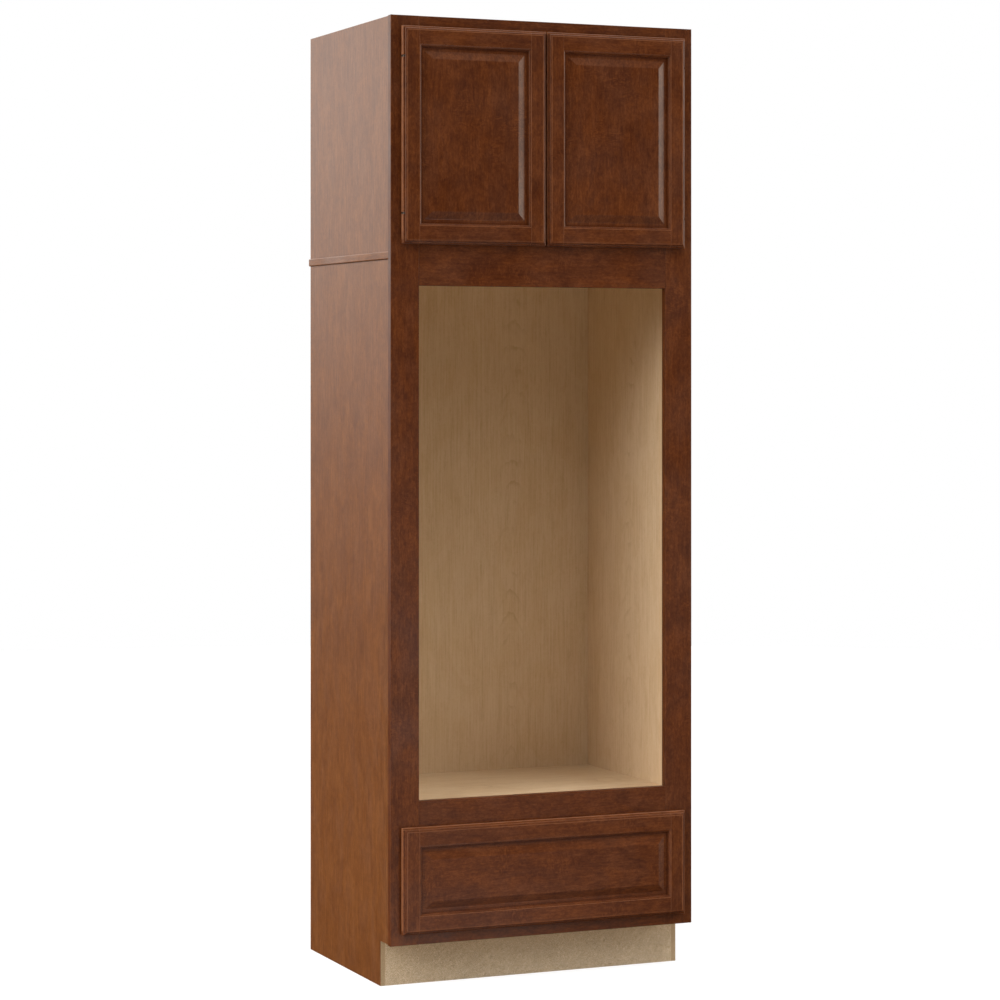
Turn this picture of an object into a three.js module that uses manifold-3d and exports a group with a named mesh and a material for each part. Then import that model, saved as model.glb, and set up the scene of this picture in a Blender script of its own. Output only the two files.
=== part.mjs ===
// Tall oven housing unit: a face-framed kitchen cabinet with a cupboard over an oven bay and a
// drawer below it. Millimetres, +Z up. The unit faces -Y, stands on Z = 0 and is centred on X and
// on its overall depth.

import * as THREE from 'three';
import { mergeVertices } from 'three/addons/utils/BufferGeometryUtils.js';
import Module from 'manifold-3d';

const wasm = await Module();
wasm.setup();

// ---- driving dimensions -------------------------------------------------------------------------

// Overall carcass: width over the face frame, depth to the face frame's front, height to the top.
const CABINET_WIDTH = 838.2;
const CABINET_DEPTH = 609.6;
const CABINET_HEIGHT = 2438.4;

// Sheet goods.
const SIDE_THICKNESS = 12.7;
const PANEL_THICKNESS = 12.7;
const DECK_THICKNESS = 19.05;
const BACK_THICKNESS = 6.35;
const DADO_DEPTH = 4;
const RABBET_WIDTH = 6.35;

// Face frame.
const FRAME_THICKNESS = 19.05;
const FRAME_OVERHANG = 4.8;
const STILE_WIDTH = 76.2;
const TOP_RAIL_WIDTH = 38.1;
const BOTTOM_RAIL_WIDTH = 38.1;
const LOWER_RAIL_WIDTH = 76.2;
const MIDDLE_RAIL_WIDTH = 116.8;
const EASED_EDGE = 0.8;

// Heights above the floor.
const TOE_HEIGHT = 114.3;
const DRAWER_OPENING_HEIGHT = 244.5;
const OVEN_OPENING_HEIGHT = 1289.8;
const DECK_BELOW_RAIL = 19.05;
const TOP_RECESS = 19.05;
const SHELF_SHARE = 0.5;

// Plinth, nailer, cleats and splices.
const TOE_RECESS = 84.5;
const NAILER_HEIGHT = 76.2;
const CLEAT_HEIGHT = 38.1;
const CLEAT_THICKNESS = 19.05;
const SPLICE_BELOW_SEAM = 44.45;
const SPLICE_ABOVE_SEAM = 28;
const SHELF_SETBACK = 25.4;

// Strip that covers the joint between the lower and the upper side panel.
const STRIP_HEIGHT = 19.4;
const STRIP_ROUND = 2.4;

// Doors and drawer front, all of one pattern: five pieces with a raised panel.
const FRONT_THICKNESS = 19.05;
const FRONT_GAP = 2.5;
const SIDE_REVEAL = 26.4;
const TOP_REVEAL = 26.7;
const DOOR_OVERLAP = 12.7;
const DOOR_PAIR_GAP = 3;
const DRAWER_FRONT_OVERLAP = 12.7;
const DRAWER_FRONT_DROP = 10.4;
const DOOR_STILE = 50.5;
const DOOR_RAIL = 53;

// Section of a front's members and panel. The edge moulding and the panel groove are set out from
// the face, as a cutter is, so they keep their form in thicker or thinner stock.
const BACK_ROUND = 2;
const EDGE_MOULDING = 9.85;
const EDGE_BEAD = 4.6;
const EDGE_QUIRK = 0.8;
const EDGE_FILLET = 1;
const STICKING_FILLET = 0.8;
const STICKING_BEAD = 5.6;
const STICKING_QUIRK = 1.4;
const GROOVE_LIP = 1.85;
const GROOVE_WIDTH = 6.4;
const GROOVE_DEPTH = 10;
const TONGUE_CLEARANCE = 0.2;
const PANEL_EXPANSION = 2;
const PANEL_BEVEL = 20.5;
const PANEL_BEVEL_ANGLE = 22;
const PANEL_FLAT = 8;
const PANEL_FIELD_DROP = 0.7;
const ARC_STEPS = 6;

// Overlay pivot hinges, two to a door, let into a saw kerf in the door's hinge edge.
const HINGE_PIN_INSET = 5;
const HINGE_PIN_DEPTH = 8.8;
const HINGE_PIN_RADIUS = 1.5;
const HINGE_PIN_CLEARANCE = 0.15;
const HINGE_FROM_END = 76.2;
const HINGE_PLATE_HEIGHT = 44;
const HINGE_PLATE_WIDTH = 22;
const HINGE_PLATE_THICKNESS = 1.5;
const HINGE_EAR_THICKNESS = 2.2;
const HINGE_EAR_RADIUS = 3.2;
const HINGE_EAR_GAP = 0.3;
const HINGE_WELD = 0.5;
const HINGE_STEPS = 10;
const PIN_SIDES = 20;
const KERF_CLEARANCE = 0.5;
const KERF_LENGTH = 17;
const HINGE_PLATE_START = 12;
const KERF_DEPTH = 14.8;

// Drawer box, dovetailed at its four corners, on full-extension side slides.
const BOX_HEIGHT = 177.8;
const BOX_WALL = 15.9;
const BOX_LIFT = 19.05;
const BOX_BOTTOM_THICKNESS = 6.35;
const BOX_BOTTOM_LIFT = 12.7;
const BOX_GROOVE_DEPTH = 6;
const TAIL_COUNT = 5;
const TAIL_SHARE = 0.68;
const TAIL_SLOPE = 0.16;
const TAIL_CLEARANCE = 0.1;
const TAIL_ROOT = 0.5;

// Slides: three nested bent-steel members.
const SLIDE_WIDTH = 12.7;
const SLIDE_HEIGHT = 45.4;
const SLIDE_SETBACK = 1;
const SLIDE_BACK_ROOM = 43.35;
const SLIDE_STEEL = 1.2;
const SLIDE_PLAY = 0.4;
const SLIDE_RUNNING_GAP = 0.7;
const SLIDE_LIP = 3.7;
const SLIDE_MOUTH = 9.6;
const SOCKET_LAP = 60;
const SOCKET_FLANGE = 30;
const SOCKET_HEIGHT = 38;
const SOCKET_STEEL = 2;

// Glued and screwed faces stand this far apart, and a cutting shape runs this far past the face
// that it opens.
const GLUE_LINE = 0.1;
const CUT_PAST = 1;

// ---- derived levels and lines -------------------------------------------------------------------

const HALF_WIDTH = CABINET_WIDTH / 2;
const SIDE_OUTER = HALF_WIDTH - FRAME_OVERHANG;
const SIDE_INNER = SIDE_OUTER - SIDE_THICKNESS;
const HALF_OPENING = HALF_WIDTH - STILE_WIDTH;
const CARCASS_FRONT = FRAME_THICKNESS + GLUE_LINE;
const SHELF_FRONT = CARCASS_FRONT + SHELF_SETBACK;
const BACK_INNER = CABINET_DEPTH - BACK_THICKNESS;
const PANEL_BACK = BACK_INNER - GLUE_LINE;
const DRAWER_OPENING_BOTTOM = TOE_HEIGHT + BOTTOM_RAIL_WIDTH;
const DRAWER_OPENING_TOP = DRAWER_OPENING_BOTTOM + DRAWER_OPENING_HEIGHT;
const OVEN_OPENING_BOTTOM = DRAWER_OPENING_TOP + LOWER_RAIL_WIDTH;
const OVEN_OPENING_TOP = OVEN_OPENING_BOTTOM + OVEN_OPENING_HEIGHT;
const CUPBOARD_OPENING_BOTTOM = OVEN_OPENING_TOP + MIDDLE_RAIL_WIDTH;
const CUPBOARD_OPENING_TOP = CABINET_HEIGHT - TOP_RAIL_WIDTH;
const CUPBOARD_OPENING_HEIGHT = CUPBOARD_OPENING_TOP - CUPBOARD_OPENING_BOTTOM;
const BOTTOM_PANEL_TOP = DRAWER_OPENING_BOTTOM;
const DECK_TOP = OVEN_OPENING_BOTTOM - DECK_BELOW_RAIL;
const CUPBOARD_FLOOR_TOP = CUPBOARD_OPENING_BOTTOM;
const SPLICE_TOP = CUPBOARD_FLOOR_TOP - PANEL_THICKNESS - GLUE_LINE;
const SIDE_SEAM_HEIGHT = SPLICE_TOP - SPLICE_ABOVE_SEAM;
const TOP_PANEL_TOP = CABINET_HEIGHT - TOP_RECESS;
const SHELF_TOP = CUPBOARD_OPENING_BOTTOM + CUPBOARD_OPENING_HEIGHT * SHELF_SHARE;
const FRONT_PROUD = FRONT_GAP + FRONT_THICKNESS;
const FRONTS_WIDTH = CABINET_WIDTH - 2 * SIDE_REVEAL;
const DOOR_WIDTH = (FRONTS_WIDTH - DOOR_PAIR_GAP) / 2;
const DOOR_TOP = CABINET_HEIGHT - TOP_REVEAL;
const DOOR_BOTTOM = CUPBOARD_OPENING_BOTTOM - DOOR_OVERLAP;
const DRAWER_FRONT_TOP = DRAWER_OPENING_TOP + DRAWER_FRONT_OVERLAP;
const DRAWER_FRONT_BOTTOM = DRAWER_OPENING_BOTTOM - DRAWER_FRONT_DROP;
const STICKING_WIDTH = STICKING_BEAD + STICKING_QUIRK;
const STICKING_DEPTH = STICKING_BEAD + STICKING_FILLET;
const GROOVE_FRONT = FRONT_THICKNESS - STICKING_DEPTH - GROOVE_LIP;
const GROOVE_BACK = GROOVE_FRONT - GROOVE_WIDTH;
const SLIDE_LENGTH = PANEL_BACK - SLIDE_SETBACK - SLIDE_BACK_ROOM;

// ---- finishes -----------------------------------------------------------------------------------

const finish = (color, roughness, metalness = 0) =>
  new THREE.MeshStandardMaterial({ color, roughness, metalness });
const STAINED_MAPLE = finish(0x572f17, 0.35);
const STAINED_VENEER = finish(0x714322, 0.35);
const NATURAL_MAPLE = finish(0xcaad85, 0.5);
const RAW_BOARD = finish(0xc5ae8d, 0.85);
const DRAWER_MAPLE = finish(0xceb38b, 0.5);
const ZINC_STEEL = finish(0xcdcfd0, 0.3, 1);
const BRONZED_STEEL = finish(0x524238, 0.45, 1);

// ---- shape tools --------------------------------------------------------------------------------

/** A closed three.js geometry as a solid that can be cut and joined. */
function toSolid(geometry) {
  const bare = geometry.clone();
  bare.deleteAttribute('normal');
  bare.deleteAttribute('uv');
  const merged = mergeVertices(bare, 1e-4);
  const mesh = new wasm.Mesh({
    numProp: 3,
    vertProperties: new Float32Array(merged.attributes.position.array),
    triVerts: new Uint32Array(merged.index.array),
  });
  mesh.merge();
  return new wasm.Manifold(mesh);
}

/** A solid back as a three.js geometry. */
function toGeometry(solid) {
  const mesh = solid.getMesh();
  const geometry = new THREE.BufferGeometry();
  geometry.setAttribute('position', new THREE.BufferAttribute(mesh.vertProperties, 3));
  geometry.setIndex(new THREE.BufferAttribute(mesh.triVerts, 1));
  geometry.computeVertexNormals();
  return geometry;
}

/** The first geometry with every one of the others taken out of it. */
function cut(geometry, ...tools) {
  let solid = toSolid(geometry);
  for (const tool of tools) solid = solid.subtract(toSolid(tool));
  return toGeometry(solid);
}

/** All the geometries as one body. */
function join(first, ...others) {
  let solid = toSolid(first);
  for (const other of others) solid = solid.add(toSolid(other));
  return toGeometry(solid);
}

/** What two geometries share. */
function overlap(first, second) {
  return toGeometry(toSolid(first).intersect(toSolid(second)));
}

/** A square-edged block between two limits on each axis. */
function block([x0, x1], [y0, y1], [z0, z1]) {
  const box = new THREE.BoxGeometry(x1 - x0, y1 - y0, z1 - z0);
  return box.translate((x0 + x1) / 2, (y0 + y1) / 2, (z0 + z1) / 2);
}

const AXES = {
  x: new THREE.Matrix4().set(0, 0, 1, 0, 1, 0, 0, 0, 0, 1, 0, 0, 0, 0, 0, 1),
  y: new THREE.Matrix4().set(1, 0, 0, 0, 0, 0, -1, 0, 0, 1, 0, 0, 0, 0, 0, 1),
  z: new THREE.Matrix4(),
};

/**
 * A section swept in a straight line. The section's two coordinates are (y, z) along x, (x, z)
 * along y, which runs towards -Y, and (x, y) along z.
 */
function sweep(section, axis, length, holes = []) {
  const shape = new THREE.Shape(section.map(([u, v]) => new THREE.Vector2(u, v)));
  shape.holes = holes.map((hole) => new THREE.Path(hole.map(([u, v]) => new THREE.Vector2(u, v))));
  return new THREE.ExtrudeGeometry(shape, { depth: length, bevelEnabled: false }).applyMatrix4(AXES[axis]);
}

/** Points of an arc, angles in degrees. */
function arc(centreU, centreV, radius, from, to, steps = ARC_STEPS) {
  return Array.from({ length: steps + 1 }, (_, i) => {
    const angle = THREE.MathUtils.degToRad(from + ((to - from) * i) / steps);
    return [centreU + radius * Math.cos(angle), centreV + radius * Math.sin(angle)];
  });
}

/** A circle about the origin, as an outline of so many sides. */
function circle(radius, sides) {
  return arc(0, 0, radius, 0, 360, sides).slice(0, sides);
}

/** A counter-clockwise outline moved outwards everywhere by a distance. */
function grow(outline, distance) {
  const count = outline.length;
  return outline.map((point, i) => {
    const before = outline[(i + count - 1) % count];
    const after = outline[(i + 1) % count];
    const inward = new THREE.Vector2(point[0] - before[0], point[1] - before[1]).normalize();
    const outward = new THREE.Vector2(after[0] - point[0], after[1] - point[1]).normalize();
    const turn = 1 + inward.dot(outward);
    return [
      point[0] + (distance * (inward.y + outward.y)) / turn,
      point[1] - (distance * (inward.x + outward.x)) / turn,
    ];
  });
}

/** Outline of a bent sheet: a path of its outer skin, thickened to the left of the way it runs. */
function bentSheet(path, thickness) {
  const inner = path.map((point, i) => {
    const before = path[Math.max(i - 1, 0)];
    const after = path[Math.min(i + 1, path.length - 1)];
    const inward = new THREE.Vector2(point[0] - before[0], point[1] - before[1]).normalize();
    const outward = new THREE.Vector2(after[0] - point[0], after[1] - point[1]).normalize();
    const here = inward.lengthSq() === 0 ? outward : inward;
    const next = outward.lengthSq() === 0 ? inward : outward;
    const turn = 1 + here.dot(next);
    return [
      point[0] - (thickness * (here.y + next.y)) / turn,
      point[1] + (thickness * (here.x + next.x)) / turn,
    ];
  });
  return [...path, ...inner.reverse()];
}

/**
 * A rectangular plate whose edge follows a section on all four sides, with mitred corners. The
 * section is a list of [inset, depth] from the back face to the front face, depth measured
 * towards -Y.
 */
function mitredPlate(width, height, section) {
  const positions = [];
  const index = [];
  for (const [inset, depth] of section) {
    const x = width / 2 - inset;
    const z = height / 2 - inset;
    positions.push(-x, -depth, -z, x, -depth, -z, x, -depth, z, -x, -depth, z);
  }
  for (let ring = 0; ring < section.length - 1; ring += 1) {
    for (let corner = 0; corner < 4; corner += 1) {
      const a = ring * 4 + corner;
      const b = ring * 4 + ((corner + 1) % 4);
      index.push(a, b, b + 4, a, b + 4, a + 4);
    }
  }
  const last = (section.length - 1) * 4;
  index.push(0, 2, 1, 0, 3, 2, last, last + 1, last + 2, last, last + 2, last + 3);
  const geometry = new THREE.BufferGeometry();
  geometry.setAttribute('position', new THREE.Float32BufferAttribute(positions, 3));
  geometry.setIndex(index);
  return geometry;
}

/** A named piece in its finish. */
function piece(name, geometry, material) {
  const mesh = new THREE.Mesh(geometry, material);
  mesh.name = name;
  return mesh;
}

/** Both signs of the unit's left and right, with the word for each. */
const HANDS = [
  { hand: 'left', sign: -1 },
  { hand: 'right', sign: 1 },
];

/** Two distances from the centre line, in order, on the left or the right hand. */
function onHand(sign, inner, outer) {
  return sign < 0 ? [-outer, -inner] : [inner, outer];
}

// ---- carcass ------------------------------------------------------------------------------------

/** Cut that lets a horizontal panel into a side, with a glue line above and below the panel. */
function dado(sign, top) {
  return block(
    onHand(sign, SIDE_INNER - CUT_PAST, SIDE_INNER + DADO_DEPTH),
    [FRAME_THICKNESS - CUT_PAST, CABINET_DEPTH + CUT_PAST],
    [top - PANEL_THICKNESS - GLUE_LINE, top + GLUE_LINE],
  );
}

/** Step along the back edge of a side that takes the back panel. */
function backRabbet(sign) {
  return block(
    onHand(sign, SIDE_INNER - CUT_PAST, SIDE_INNER + RABBET_WIDTH),
    [BACK_INNER, CABINET_DEPTH + CUT_PAST],
    [-CUT_PAST, CABINET_HEIGHT + CUT_PAST],
  );
}

/** Lower side panel: its toe notch, the dado of the floor and the back rabbet. */
function lowerSide(sign) {
  const outline = [
    [TOE_RECESS, 0],
    [CABINET_DEPTH, 0],
    [CABINET_DEPTH, SIDE_SEAM_HEIGHT - GLUE_LINE / 2],
    [CARCASS_FRONT, SIDE_SEAM_HEIGHT - GLUE_LINE / 2],
    [CARCASS_FRONT, TOE_HEIGHT],
    [TOE_RECESS, TOE_HEIGHT],
  ];
  const start = sign < 0 ? -SIDE_OUTER : SIDE_INNER;
  const blank = sweep(outline, 'x', SIDE_THICKNESS).translate(start, 0, 0);
  return cut(blank, dado(sign, BOTTOM_PANEL_TOP), backRabbet(sign));
}

/** Upper side panel: the dados of the cupboard floor, its shelf and the top, the back rabbet. */
function upperSide(sign) {
  const blank = block(
    onHand(sign, SIDE_INNER, SIDE_OUTER),
    [CARCASS_FRONT, CABINET_DEPTH],
    [SIDE_SEAM_HEIGHT + GLUE_LINE / 2, CABINET_HEIGHT],
  );
  return cut(
    blank,
    dado(sign, CUPBOARD_FLOOR_TOP),
    dado(sign, SHELF_TOP),
    dado(sign, TOP_PANEL_TOP),
    backRabbet(sign),
  );
}

/** Horizontal panel whose ends stand in the dados of both sides. */
function dadoedPanel(top, front = CARCASS_FRONT) {
  const halfLength = SIDE_INNER + DADO_DEPTH - GLUE_LINE;
  return block([-halfLength, halfLength], [front, PANEL_BACK], [top - PANEL_THICKNESS, top]);
}

/** Back panel in the rabbets of the sides, from the toe height to the top panel. */
function backPanel() {
  const halfWidth = SIDE_INNER + RABBET_WIDTH - GLUE_LINE;
  return block(
    [-halfWidth, halfWidth],
    [BACK_INNER + GLUE_LINE, CABINET_DEPTH],
    [TOE_HEIGHT, TOP_PANEL_TOP],
  );
}

/** Rail across the back, under the top panel, that the unit is screwed to the wall through. */
function nailer() {
  const top = TOP_PANEL_TOP - PANEL_THICKNESS - GLUE_LINE;
  const halfLength = SIDE_INNER - GLUE_LINE;
  return block(
    [-halfLength, halfLength],
    [PANEL_BACK - PANEL_THICKNESS, PANEL_BACK],
    [top - NAILER_HEIGHT, top],
  );
}

/** Board that closes the toe space, between the sides and under the floor panel. */
function toeBoard() {
  const halfLength = SIDE_INNER - GLUE_LINE;
  const top = BOTTOM_PANEL_TOP - PANEL_THICKNESS - GLUE_LINE;
  return block(
    [-halfLength, halfLength],
    [TOE_RECESS, TOE_RECESS + PANEL_THICKNESS],
    [0, top],
  );
}

/** Deck that the oven stands on: a board between the sides, carried by their cleats. */
function ovenDeck() {
  const halfLength = SIDE_INNER - GLUE_LINE;
  return block(
    [-halfLength, halfLength],
    [CARCASS_FRONT, PANEL_BACK],
    [DECK_TOP - DECK_THICKNESS, DECK_TOP],
  );
}

/** Cleat glued to a side right under the oven deck. */
function deckCleat(sign) {
  const top = DECK_TOP - DECK_THICKNESS - GLUE_LINE;
  const inner = SIDE_INNER - GLUE_LINE - CLEAT_THICKNESS;
  return block(
    onHand(sign, inner, SIDE_INNER - GLUE_LINE),
    [CARCASS_FRONT, PANEL_BACK],
    [top - CLEAT_HEIGHT, top],
  );
}

/** Splice board inside a side that ties its lower and upper panel, up to the cupboard floor. */
function sideSplice(sign) {
  return block(
    onHand(sign, SIDE_INNER - GLUE_LINE - PANEL_THICKNESS, SIDE_INNER - GLUE_LINE),
    [CARCASS_FRONT, PANEL_BACK],
    [SIDE_SEAM_HEIGHT - SPLICE_BELOW_SEAM, SPLICE_TOP],
  );
}

/** Strip over the seam outside a side: flat back, rounded long edges, flush with the face frame's edge. */
function seamStrip(sign) {
  const thickness = FRAME_OVERHANG - GLUE_LINE;
  const round = Math.min(STRIP_ROUND, thickness, STRIP_HEIGHT / 2);
  const half = STRIP_HEIGHT / 2;
  const section = [
    [0, -half],
    ...arc(thickness - round, -half + round, round, -90, 0),
    ...arc(thickness - round, half - round, round, 0, 90),
    [0, half],
  ];
  const outward = section.map(([u, v]) => [sign * (SIDE_OUTER + GLUE_LINE + u), SIDE_SEAM_HEIGHT + v]);
  const outline = sign < 0 ? outward.reverse() : outward;
  return sweep(outline, 'y', CABINET_DEPTH - CARCASS_FRONT).translate(0, CABINET_DEPTH, 0);
}

function carcass() {
  const group = new THREE.Group();
  for (const { hand, sign } of HANDS) {
    group.add(
      piece(`${hand}_side_lower`, lowerSide(sign), STAINED_VENEER),
      piece(`${hand}_side_upper`, upperSide(sign), STAINED_VENEER),
      piece(`${hand}_side_splice`, sideSplice(sign), NATURAL_MAPLE),
      piece(`${hand}_seam_strip`, seamStrip(sign), STAINED_MAPLE),
      piece(`${hand}_deck_cleat`, deckCleat(sign), NATURAL_MAPLE),
    );
  }
  group.add(
    piece('floor_panel', dadoedPanel(BOTTOM_PANEL_TOP), NATURAL_MAPLE),
    piece('oven_deck', ovenDeck(), NATURAL_MAPLE),
    piece('cupboard_floor', dadoedPanel(CUPBOARD_FLOOR_TOP), NATURAL_MAPLE),
    piece('cupboard_shelf', dadoedPanel(SHELF_TOP, SHELF_FRONT), NATURAL_MAPLE),
    piece('top_panel', dadoedPanel(TOP_PANEL_TOP), NATURAL_MAPLE),
    piece('back_panel', backPanel(), NATURAL_MAPLE),
    piece('top_nailer', nailer(), NATURAL_MAPLE),
    piece('toe_board', toeBoard(), RAW_BOARD),
  );
  return group;
}

// ---- face frame ---------------------------------------------------------------------------------

/** Section of a face-frame member, [across, depth], with its two front arrises eased. */
function frameSection(width) {
  return [
    [0, EASED_EDGE],
    [EASED_EDGE, 0],
    [width - EASED_EDGE, 0],
    [width, EASED_EDGE],
    [width, FRAME_THICKNESS],
    [0, FRAME_THICKNESS],
  ];
}

/** Stile from the toe space to the top. */
function frameStile(sign) {
  const stile = sweep(frameSection(STILE_WIDTH), 'z', CABINET_HEIGHT - TOE_HEIGHT);
  return stile.translate(sign < 0 ? -HALF_WIDTH : HALF_OPENING, 0, TOE_HEIGHT);
}

/** Rail between the stiles, from one height to another. */
function frameRail(bottom, top) {
  const section = frameSection(top - bottom).map(([across, depth]) => [depth, across]);
  const halfLength = HALF_OPENING - GLUE_LINE;
  return sweep(section.reverse(), 'x', 2 * halfLength).translate(-halfLength, 0, bottom);
}

function faceFrame() {
  const group = new THREE.Group();
  for (const { hand, sign } of HANDS) {
    group.add(piece(`${hand}_frame_stile`, frameStile(sign), STAINED_MAPLE));
  }
  const rails = {
    top_rail: [CUPBOARD_OPENING_TOP, CABINET_HEIGHT],
    middle_rail: [OVEN_OPENING_TOP, CUPBOARD_OPENING_BOTTOM],
    lower_rail: [DRAWER_OPENING_TOP, OVEN_OPENING_BOTTOM],
    bottom_rail: [TOE_HEIGHT, DRAWER_OPENING_BOTTOM],
  };
  for (const [name, [bottom, top]] of Object.entries(rails)) {
    group.add(piece(name, frameRail(bottom, top), STAINED_MAPLE));
  }
  return group;
}

// ---- doors and drawer front ---------------------------------------------------------------------

/** Edge of a whole front, [inset, depth]: eased back, square edge, bead, quirk, second bead. */
function frontEdge() {
  const beadStart = FRONT_THICKNESS - EDGE_MOULDING;
  const beadTop = beadStart + EDGE_BEAD;
  const secondInset = EDGE_BEAD + EDGE_QUIRK;
  const secondBead = FRONT_THICKNESS - beadTop - EDGE_FILLET;
  return [
    ...arc(BACK_ROUND, BACK_ROUND, BACK_ROUND, 270, 180, 3),
    ...arc(EDGE_BEAD, beadStart, EDGE_BEAD, 180, 90),
    [secondInset, beadTop],
    ...arc(secondInset + secondBead, beadTop + EDGE_FILLET, secondBead, 180, 90),
  ];
}

/** Section of a stile or rail, [across, depth]: panel groove and beaded sticking inside. */
function memberSection(width) {
  const lipDepth = FRONT_THICKNESS - STICKING_DEPTH;
  return [
    [0, 0],
    [width, 0],
    [width, GROOVE_BACK],
    [width - GROOVE_DEPTH, GROOVE_BACK],
    [width - GROOVE_DEPTH, GROOVE_FRONT],
    [width, GROOVE_FRONT],
    [width, lipDepth],
    ...arc(width - STICKING_WIDTH, lipDepth, STICKING_BEAD, 0, 90),
    [width - STICKING_WIDTH, FRONT_THICKNESS],
    [0, FRONT_THICKNESS],
  ];
}

/** Upright bar of a stile's section, on one hand of a front, moved out by a clearance. */
function stileBar(sign, width, height, clearance = 0) {
  const section = grow(memberSection(DOOR_STILE), clearance);
  const placed = section.map(([across, depth]) => [-sign * (across - width / 2), -depth]);
  const outline = sign < 0 ? placed.reverse() : placed;
  return sweep(outline, 'z', height).translate(0, 0, -height / 2);
}

/** Level bar of a rail's section, at the bottom or top of a front, into both stiles' grooves. */
function railBar(sign, width, height) {
  const halfLength = width / 2 - DOOR_STILE + GROOVE_DEPTH - TONGUE_CLEARANCE;
  const section = memberSection(DOOR_RAIL);
  const placed = section.map(([across, depth]) => [-depth, -sign * (across - height / 2)]);
  const outline = sign > 0 ? placed.reverse() : placed;
  return sweep(outline, 'x', 2 * halfLength).translate(-halfLength, 0, 0);
}

/** Raised panel, which floats in the grooves: tongue, cove, straight bevel and field. */
function raisedPanel(width, height) {
  const panelWidth = width - 2 * (DOOR_STILE - GROOVE_DEPTH + PANEL_EXPANSION);
  const panelHeight = height - 2 * (DOOR_RAIL - GROOVE_DEPTH + PANEL_EXPANSION);
  const back = GROOVE_BACK + TONGUE_CLEARANCE;
  const tongueFront = GROOVE_FRONT - TONGUE_CLEARANCE;
  const coveStart = GROOVE_DEPTH - PANEL_EXPANSION + PANEL_FLAT;
  const fieldDepth = FRONT_THICKNESS - PANEL_FIELD_DROP;
  const rise = fieldDepth - tongueFront;
  const angle = THREE.MathUtils.degToRad(PANEL_BEVEL_ANGLE);
  const slope = Math.tan(angle);
  const coveWidth = (PANEL_BEVEL * slope - rise) / (slope - Math.tan(angle / 2));
  const radius = coveWidth / Math.sin(angle);
  return mitredPlate(panelWidth, panelHeight, [
    [0, back],
    [0, tongueFront],
    ...arc(coveStart, tongueFront + radius, radius, 270, 270 + PANEL_BEVEL_ANGLE),
    [coveStart + PANEL_BEVEL, fieldDepth],
  ]);
}

/** Kerf and plate recess for one hinge on the left (-1) or right (+1) edge of a door. */
function hingeCuts(sign, width, height) {
  const edge = width / 2;
  const kerfHalf = HINGE_EAR_THICKNESS + HINGE_EAR_GAP / 2 + KERF_CLEARANCE;
  const plateInner = edge - HINGE_PLATE_START - HINGE_PLATE_WIDTH - GLUE_LINE;
  const plateHalf = HINGE_PLATE_HEIGHT / 2 + GLUE_LINE;
  return [
    block(
      onHand(sign, edge - KERF_LENGTH, edge + CUT_PAST),
      [-KERF_DEPTH, CUT_PAST],
      [height - kerfHalf, height + kerfHalf],
    ),
    block(
      onHand(sign, plateInner, edge - HINGE_PLATE_START),
      [-HINGE_PLATE_THICKNESS - 2 * GLUE_LINE, CUT_PAST],
      [height - plateHalf, height + plateHalf],
    ),
  ];
}

/** Heights of a door's two hinges, measured from the door's middle. */
function hingeHeights(height) {
  return { bottom: -height / 2 + HINGE_FROM_END, top: height / 2 - HINGE_FROM_END };
}

/**
 * Five-piece front centred on X and Z with its back on Y = 0: stiles, rails coped over the stiles,
 * raised panel. The edge moulding is run round the whole front. A door's stile on the hinged hand
 * gets the hinge cuts.
 */
function front(name, width, height, hinged = 0) {
  const group = new THREE.Group();
  const envelope = mitredPlate(width, height, frontEdge());
  for (const { hand, sign } of HANDS) {
    const moulded = overlap(stileBar(sign, width, height), envelope);
    const heights = sign === hinged ? Object.values(hingeHeights(height)) : [];
    const cuts = heights.flatMap((z) => hingeCuts(sign, width, z));
    group.add(piece(`${name}_${hand}_stile`, cut(moulded, ...cuts), STAINED_MAPLE));
  }
  for (const [end, sign] of [['bottom', -1], ['top', 1]]) {
    const copes = HANDS.map((side) => stileBar(side.sign, width, height + CUT_PAST, GLUE_LINE));
    const moulded = overlap(railBar(sign, width, height), envelope);
    group.add(piece(`${name}_${end}_rail`, cut(moulded, ...copes), STAINED_MAPLE));
  }
  group.add(piece(`${name}_panel`, raisedPanel(width, height), STAINED_MAPLE));
  return group;
}

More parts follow.
